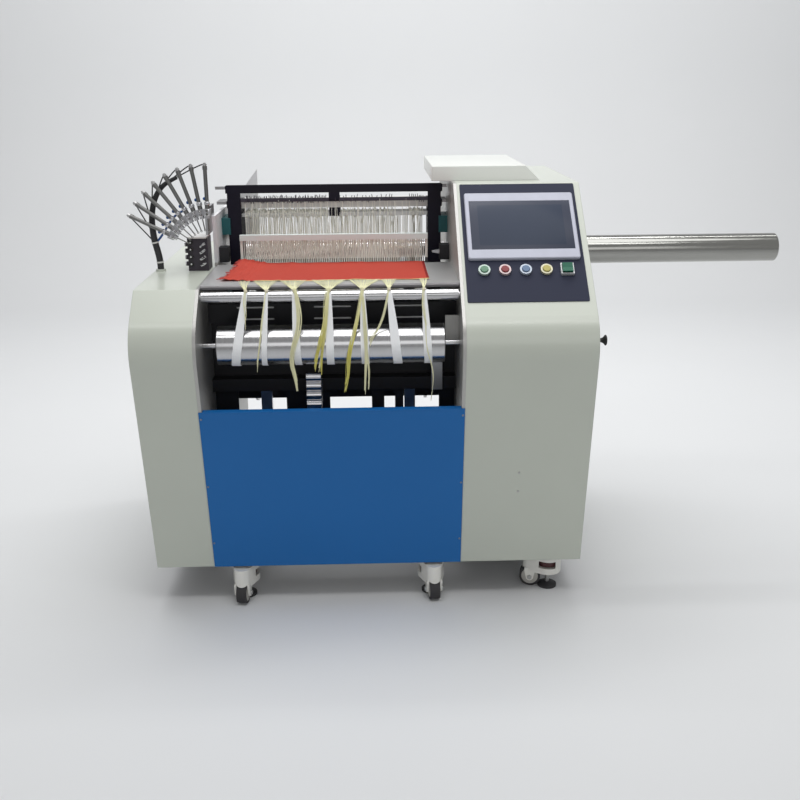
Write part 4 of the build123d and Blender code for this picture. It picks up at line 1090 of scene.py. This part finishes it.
def makeTube(name, points, diameter, finish):    # a thin air tube, as long as its route
    piece = cordPiece(name, points, diameter)
    fit(piece, finish, "hose_black")
    line = curvePoints(piece)
    length = sum((b - a).length for a, b in zip(line, line[1:]))
    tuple(points[0])
    mm(diameter)


branches = dict(leaves=(0.98, 0.95, 0.83, 0.72, 0.56, 0.47, 0.38, 0.29), bow=5, diameter=3.2, past=2,
                behind=4, lead=4)
blueTube = dict(diameter=6, route=((-456, 250, 906), (-446, 251, 916), (-430, 252, 938), (-416, 252, 961),
                                   (-393, 252, 983), (-371, 251, 990)))


def makeBranch(number, line, share):
    start = line[spotOn(line, share)]
    end = fingerPoint(number, fan["tip"] + branches["past"], -branches["behind"])
    way = fingerWay(number)
    side = end - start
    lift = Vector((0, mm(branches["behind"]), 0))
    points = [start, start + side * 0.3 + way * mm(branches["bow"] * 0.5) + lift,
              start + side * 0.7 + way * mm(branches["bow"]) + lift, end + way * mm(branches["lead"]), end]
    makeTube(f"airBranch{number}", points, branches["diameter"], plastics["knob"])


fitting = dict(
    tip=((4.2, 0), (4.2, 3), (5.6, 3), (5.6, 6), (3.4, 6.6), (3.4, 9)), tipIn=1,
    nut=((7.6, 0), (7.6, 7), (6.2, 8)), nutOut=9.5,
    holder=((-6.5, -5, 1), (6.5, 2, 19)), holderIn=2, holderFront=1,
    pin=((3.4, 0), (3.4, 1.6), (2.6, 2.4), (1.4, 2.4), (1.3, 1)), pinAt=(101, 110), pinFront=5.8,
    bush=(2.4, 6.4, 8), bushOut=0.2,
    port=((3.4, 0), (3.4, 6), (4.4, 6), (4.4, 10), (2.6, 10.6), (2.6, 13)), portOut=24, portLean=0.9,
)


def makeFanFittings():
    fingers = [(number, fingerWay(number)) for number in range(1, fan["fingers"] + 1)]
    front = fan["arcHalf"]

    def along(radius, forward=0, side=1):    # one place on each finger, looking outwards or back
        return [facingMatrix(fingerPoint(number, radius, forward), way * side) for number, way in fingers]

    low, high = [Vector(corner) / 1000 for corner in fitting["holder"]]
    pins = [facingMatrix(fingerPoint(number, radius, front + fitting["pinFront"]), (0, -1, 0))
            for number, way in fingers for radius in fitting["pinAt"]]
    ports = [facingMatrix(fingerPoint(number, fan["root"] + fitting["portOut"]),
                          (-way.z, fitting["portLean"], way.x)) for number, way in fingers]
    sets = (
        ("fingerTips", turnPiece("fingerTip", fitting["tip"], sides=18), along(fan["tip"] - fitting["tipIn"]),
         metals["screw"], "plate_steel"),
        ("fingerNuts", turnPiece("fingerNut", fitting["nut"], sides=6, soft=0.5),
         along(fan["root"] + fitting["nutOut"]), metals["nut"], "plate_steel"),
        ("fingerHolders", slabPiece("fingerHolder", low, high, 1.2),
         along(fan["arc"] - fitting["holderIn"], front + fitting["holderFront"]), metals["nut"],
         "plate_steel"),
        ("holderScrews", turnPiece("holderScrew", fitting["pin"], sides=12), pins,
         metals["finger"], "plate_steel"),
        ("fingerBushes", ringPiece("fingerBush", *fitting["bush"], sides=6),
         along(fan["arc"] + fitting["bushOut"], side=-1), metals["nut"], "plate_steel"),
        ("fingerPorts", turnPiece("fingerPort", fitting["port"], sides=16), ports,
         plastics["fitting"], "hose_black"),
    )
    for name, model, matrices, finish, slot in sets:
        fit(repeated(name, model, matrices), finish, slot)


discs = dict(
    x=-368, front=246, z=(906, 888, 869, 850), button=((2.2, 0), (2.2, 0.6), (1.4, 1)),
    disc=((6.4, 0), (6.4, 2.4), (5.4, 3.6), (3, 3.6), (3, 4.4)),
)


def makeTensionDiscs():
    # Yarn tensioners on the front of the black block
    def stack(forward):
        return [facingMatrix(at(discs["x"], discs["front"] - forward, z), (0, -1, 0)) for z in discs["z"]]

    disc = turnPiece("tensionDisc", discs["disc"], sides=24)
    fit(repeated("tensionDiscs", disc, stack(0)), plastics["knob"], "block_black")
    button = turnPiece("tensionButton", discs["button"], sides=16)
    fit(repeated("tensionButtons", button, stack(discs["disc"][-1][1])), metals["nut"], "plate_steel")


hoseLine = makeHose()
makeTensionDiscs()
for number, share in enumerate(branches["leaves"], 1):
    makeBranch(number, hoseLine, share)
makeFanFittings()
makeTube("blueTube", [at(*point) for point in blueTube["route"]], blueTube["diameter"], plastics["fitting"])
print("air hose and fan fittings made")

# Screen glass in the console's recess

console = dict(x=470, y=-115, z=730, lean=47, middle=325, width=251.4, length=151.4, recess=10.1, thick=0.9)


def consoleMatrix(up, out):    # on the console's slope
    lean = math.radians(console["lean"])
    sine, cosine = math.sin(lean), math.cos(lean)
    place = at(console["x"], console["y"] + up * sine - out * cosine, console["z"] + up * cosine + out * sine)
    columns = ((1, 0, 0), (0, sine, cosine), (0, -cosine, sine))
    return Matrix.Translation(place) @ Matrix(columns).transposed().to_4x4()


def makeGlass():
    half = Vector((mm(console["width"]), mm(console["length"]), mm(console["thick"]))) / 2
    piece = slabPiece("screenGlass", -half, half, 0)
    piece.data.transform(consoleMatrix(console["middle"], console["recess"] + console["thick"] / 2))
    softEdges(piece, 0.3)
    corners = [Vector(corner) for corner in piece.bound_box]
    low = Vector([min(corner[axis] for corner in corners) for axis in range(3)])
    high = Vector([max(corner[axis] for corner in corners) for axis in range(3)])
    return fit(piece, screenFinish(low, high), "screen_silver")


makeGlass()

# Folded cover on the right cabinet, its right end sloped

housing = dict(left=260, right=543, slope=45, front=300, rear=700, low=1050, high=1088, sheet=1.5, fold=2.4)


def makeHousing():
    piece = slabPiece("topCover", at(housing["left"], housing["front"], housing["low"]),
                      at(housing["right"], housing["rear"], housing["high"]), 0)
    bpy.ops.object.mode_set(mode="EDIT")
    bpy.ops.mesh.select_all(action="SELECT")
    bpy.ops.mesh.bisect(plane_co=at(housing["right"], 0, housing["low"]), use_fill=True, clear_outer=True,
                        plane_no=(housing["high"] - housing["low"], 0, housing["slope"]))
    pickFaces(piece, lambda face: face.normal.z < -tool["facing"])
    bpy.ops.mesh.delete(type="FACE")    # open underneath
    bpy.ops.object.mode_set(mode="OBJECT")
    applyModifier(piece, "BEVEL", width=mm(housing["fold"]), segments=3, limit_method="ANGLE")
    applyModifier(piece, "SOLIDIFY", thickness=mm(housing["sheet"]), offset=-1)
    smooth(piece)
    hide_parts("top_housing")
    return fit(piece, paints["housing"], "cabinet_paint")


makeHousing()

# Flared knob on the right wall

knob = dict(place=(630, -62, 708), soft=0.4, profile=(
    (5.2, 0), (5.2, 11), (6.4, 14.5), (9.4, 18), (12.8, 20.5), (12.8, 22.5), (11, 24), (6, 24.8)))


def makeKnob():
    piece = aim(turnPiece("sideKnob", knob["profile"], sides=40), at(*knob["place"]), (1, 0, 0))
    softEdges(piece, knob["soft"])
    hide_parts("side_knob")
    return fit(piece, plastics["knob"], "knob_black", "side_knob")


makeKnob()

# Screws on the leaning front of the cabinets

screw = dict(radius=2.8, height=1.6, proud=2, panelX=(-313, 313), panelZ=(532, 345, 178), cabinetX=457,
             cabinetZ=(369, 315))
slope = dict(low=105, rise=625, out=115)


def screwPlaces(columns, rows, proud):
    lean = math.atan2(slope["out"], slope["rise"])
    face = (0, -math.cos(lean), -math.sin(lean))
    return [facingMatrix(at(x, -slope["out"] * (z - slope["low"]) / slope["rise"] - proud, z), face)
            for x in columns for z in rows]


def screwModel():
    radius, height = screw["radius"], screw["height"]
    profile = [(radius, 0), (radius, height * 0.4), (radius * 0.7, height), (radius * 0.36, height),
               (radius * 0.3, height * 0.3)]
    return turnPiece("screw", profile, sides=16)


def makeScrews():
    panel = screwPlaces(screw["panelX"], screw["panelZ"], screw["proud"])
    fit(repeated("panelScrews", screwModel(), panel), metals["blueScrew"], "plate_steel")
    cabinet = screwPlaces([screw["cabinetX"]], screw["cabinetZ"], 0)
    fit(repeated("cabinetScrews", screwModel(), cabinet), metals["screw"], "plate_steel")


makeScrews()

# Bright strips that line the slots of the slotted bar

slots = dict(places=(-192.2, 0, 192.2), rows=(733.8, 763.2), half=46, height=2.1, front=103, back=111,
             soft=0.4)


def makeSlotLiners():
    strips = []
    for x in slots["places"]:
        for z in slots["rows"]:
            strips.append(slabPiece("slotLiner", at(x - slots["half"], slots["front"], z - slots["height"]),
                                    at(x + slots["half"], slots["back"], z + slots["height"]), slots["soft"]))
    fit(joined("slotLiners", strips), plastics["liner"], "plate_steel")


makeSlotLiners()

# Wheel hubs and axle bolts of the front casters

caster = dict(
    feet=((-244, 48), (244, 48), (557, 62)), turns=(-96, -84, 168), trail=46, axle=29, width=26, cheek=20.5,
    hub=((22, 0), (22, 0.4), (20, 0.9), (12, 0.5), (9.5, 0.8)), bolt=((6.5, 0), (6.5, 3), (5.2, 4)),
)


def makeHubs():
    for number, ((x, y), turn) in enumerate(zip(caster["feet"], caster["turns"]), 1):
        sine, cosine = math.sin(math.radians(turn)), math.cos(math.radians(turn))
        middle = at(x + caster["trail"] * cosine, y + caster["trail"] * sine, caster["axle"])
        way = Vector((sine, -cosine, 0))
        hub = turnPiece("hub", caster["hub"], sides=28)
        bolt = turnPiece("axleBolt", caster["bolt"], sides=6, soft=0.3)
        pairs = (("wheelHub", hub, caster["width"] / 2, plastics["hub"], "caster_wheel"),
                 ("axleBolts", bolt, caster["cheek"], metals["screw"], "caster_fork"))
        for name, model, out, finish, body in pairs:
            ends = [facingMatrix(middle + way * side * mm(out), way * side) for side in (-1, 1)]
            fit(repeated(f"{name}{number}", model, ends), finish, "caster_white", f"{body}_{number}")


makeHubs()
print("screws, glass and hubs made")

# Stage, lights and camera, in metres

studio = dict(floor=(0.74, 0.75, 0.76), world=0.38, front=-6, flat=9.2, cove=1.4, wall=5, width=18)
# Each light: place, what it looks at, width and height, power
lights = dict(
    overheadLight=((-0.1, -0.2, 3.5), (0, -0.1, 0), (3.4, 2.4), 52),
    frontStrip=((-0.2, -1.5, 3.1), (0, 0.1, 0.6), (3.2, 0.35), 14),
    rearStrip=((-0.2, 0.55, 3.2), (0, 0, 0.6), (3.2, 0.35), 14),
    fillLight=((0.3, -4.6, 2.0), (0, 0, 0.5), (3.4, 1.4), 14),
    backdropLight=((0, 1.2, 3.6), (0, 4.4, 1.2), (6, 0.5), 105),
)


def stagePoint(along):    # the floor, a quarter round and the wall behind
    turn = min(max(0, along - studio["flat"]) / studio["cove"], math.pi / 2)
    rise = max(0, along - studio["flat"] - studio["cove"] * math.pi / 2)
    y = studio["front"] + min(along, studio["flat"]) + studio["cove"] * math.sin(turn)
    return y, studio["cove"] * (1 - math.cos(turn)) + rise


def makeStage():
    length = studio["flat"] + studio["cove"] * math.pi / 2 + studio["wall"]
    floor = gridPiece("floor", 4, 120, lambda across, along: (
        across * studio["width"], *stagePoint((along + 0.5) * length)))
    smooth(floor, tool["soft"])
    finish = Finish("floorPale", studio["floor"], 0.7)
    cloud = finish.noise(scale=1.3, detail=3)
    finish.set({"Base Color": finish.vary(cloud, studio["floor"], dark=0.97, light=1),
                "Roughness": 0.6 + finish.noise(scale=5, detail=3) * 0.15})
    dress(floor, finish)


def makeLights():
    for name, (place, target, size, power) in lights.items():
        lamp = bpy.data.lights.new(name, "AREA")
        lamp.shape = "RECTANGLE"
        lamp.size, lamp.size_y = size
        lamp.energy = power
        piece = added(name, lamp)
        piece.location = place
        piece.rotation_euler = (Vector(target) - Vector(place)).to_track_quat("-Z", "Y").to_euler()
    world = bpy.data.worlds.new("studioWorld")
    bpy.context.scene.world = world
    world.use_nodes = True
    background = world.node_tree.nodes["Background"]
    background.inputs["Color"].default_value = (1, 1, 1, 1)
    background.inputs["Strength"].default_value = studio["world"]


view = dict(place=(103.74, -2369.04, 1297.49), pitch=0.29865, yaw=-0.02563, roll=-0.00876, focal=1007.4,
            centreY=392.2, image=800, sensor=36)


def makeCamera():
    pitch, yaw, roll = view["pitch"], view["yaw"], view["roll"]
    ahead = Vector((-math.sin(yaw) * math.cos(pitch), math.cos(yaw) * math.cos(pitch), -math.sin(pitch)))
    level = Vector((math.cos(yaw), math.sin(yaw), 0))
    upright = Vector((-math.sin(yaw) * math.sin(pitch), math.cos(yaw) * math.sin(pitch), math.cos(pitch)))
    right = level * math.cos(roll) + upright * math.sin(roll)
    up = upright * math.cos(roll) - level * math.sin(roll)
    camera = added("camera", bpy.data.cameras.new("camera"))
    turn = Matrix((right, up, -ahead)).transposed().to_4x4()
    camera.matrix_world = Matrix.Translation(at(*view["place"])) @ turn
    camera.data.sensor_width = view["sensor"]
    camera.data.lens = view["focal"] / view["image"] * view["sensor"]
    camera.data.shift_y = view["centreY"] / view["image"] - 0.5
    bpy.context.scene.camera = camera


makeStage()
makeLights()
makeCamera()
bpy.context.scene.view_settings.view_transform = "Standard"
print("stage, lights and camera made")
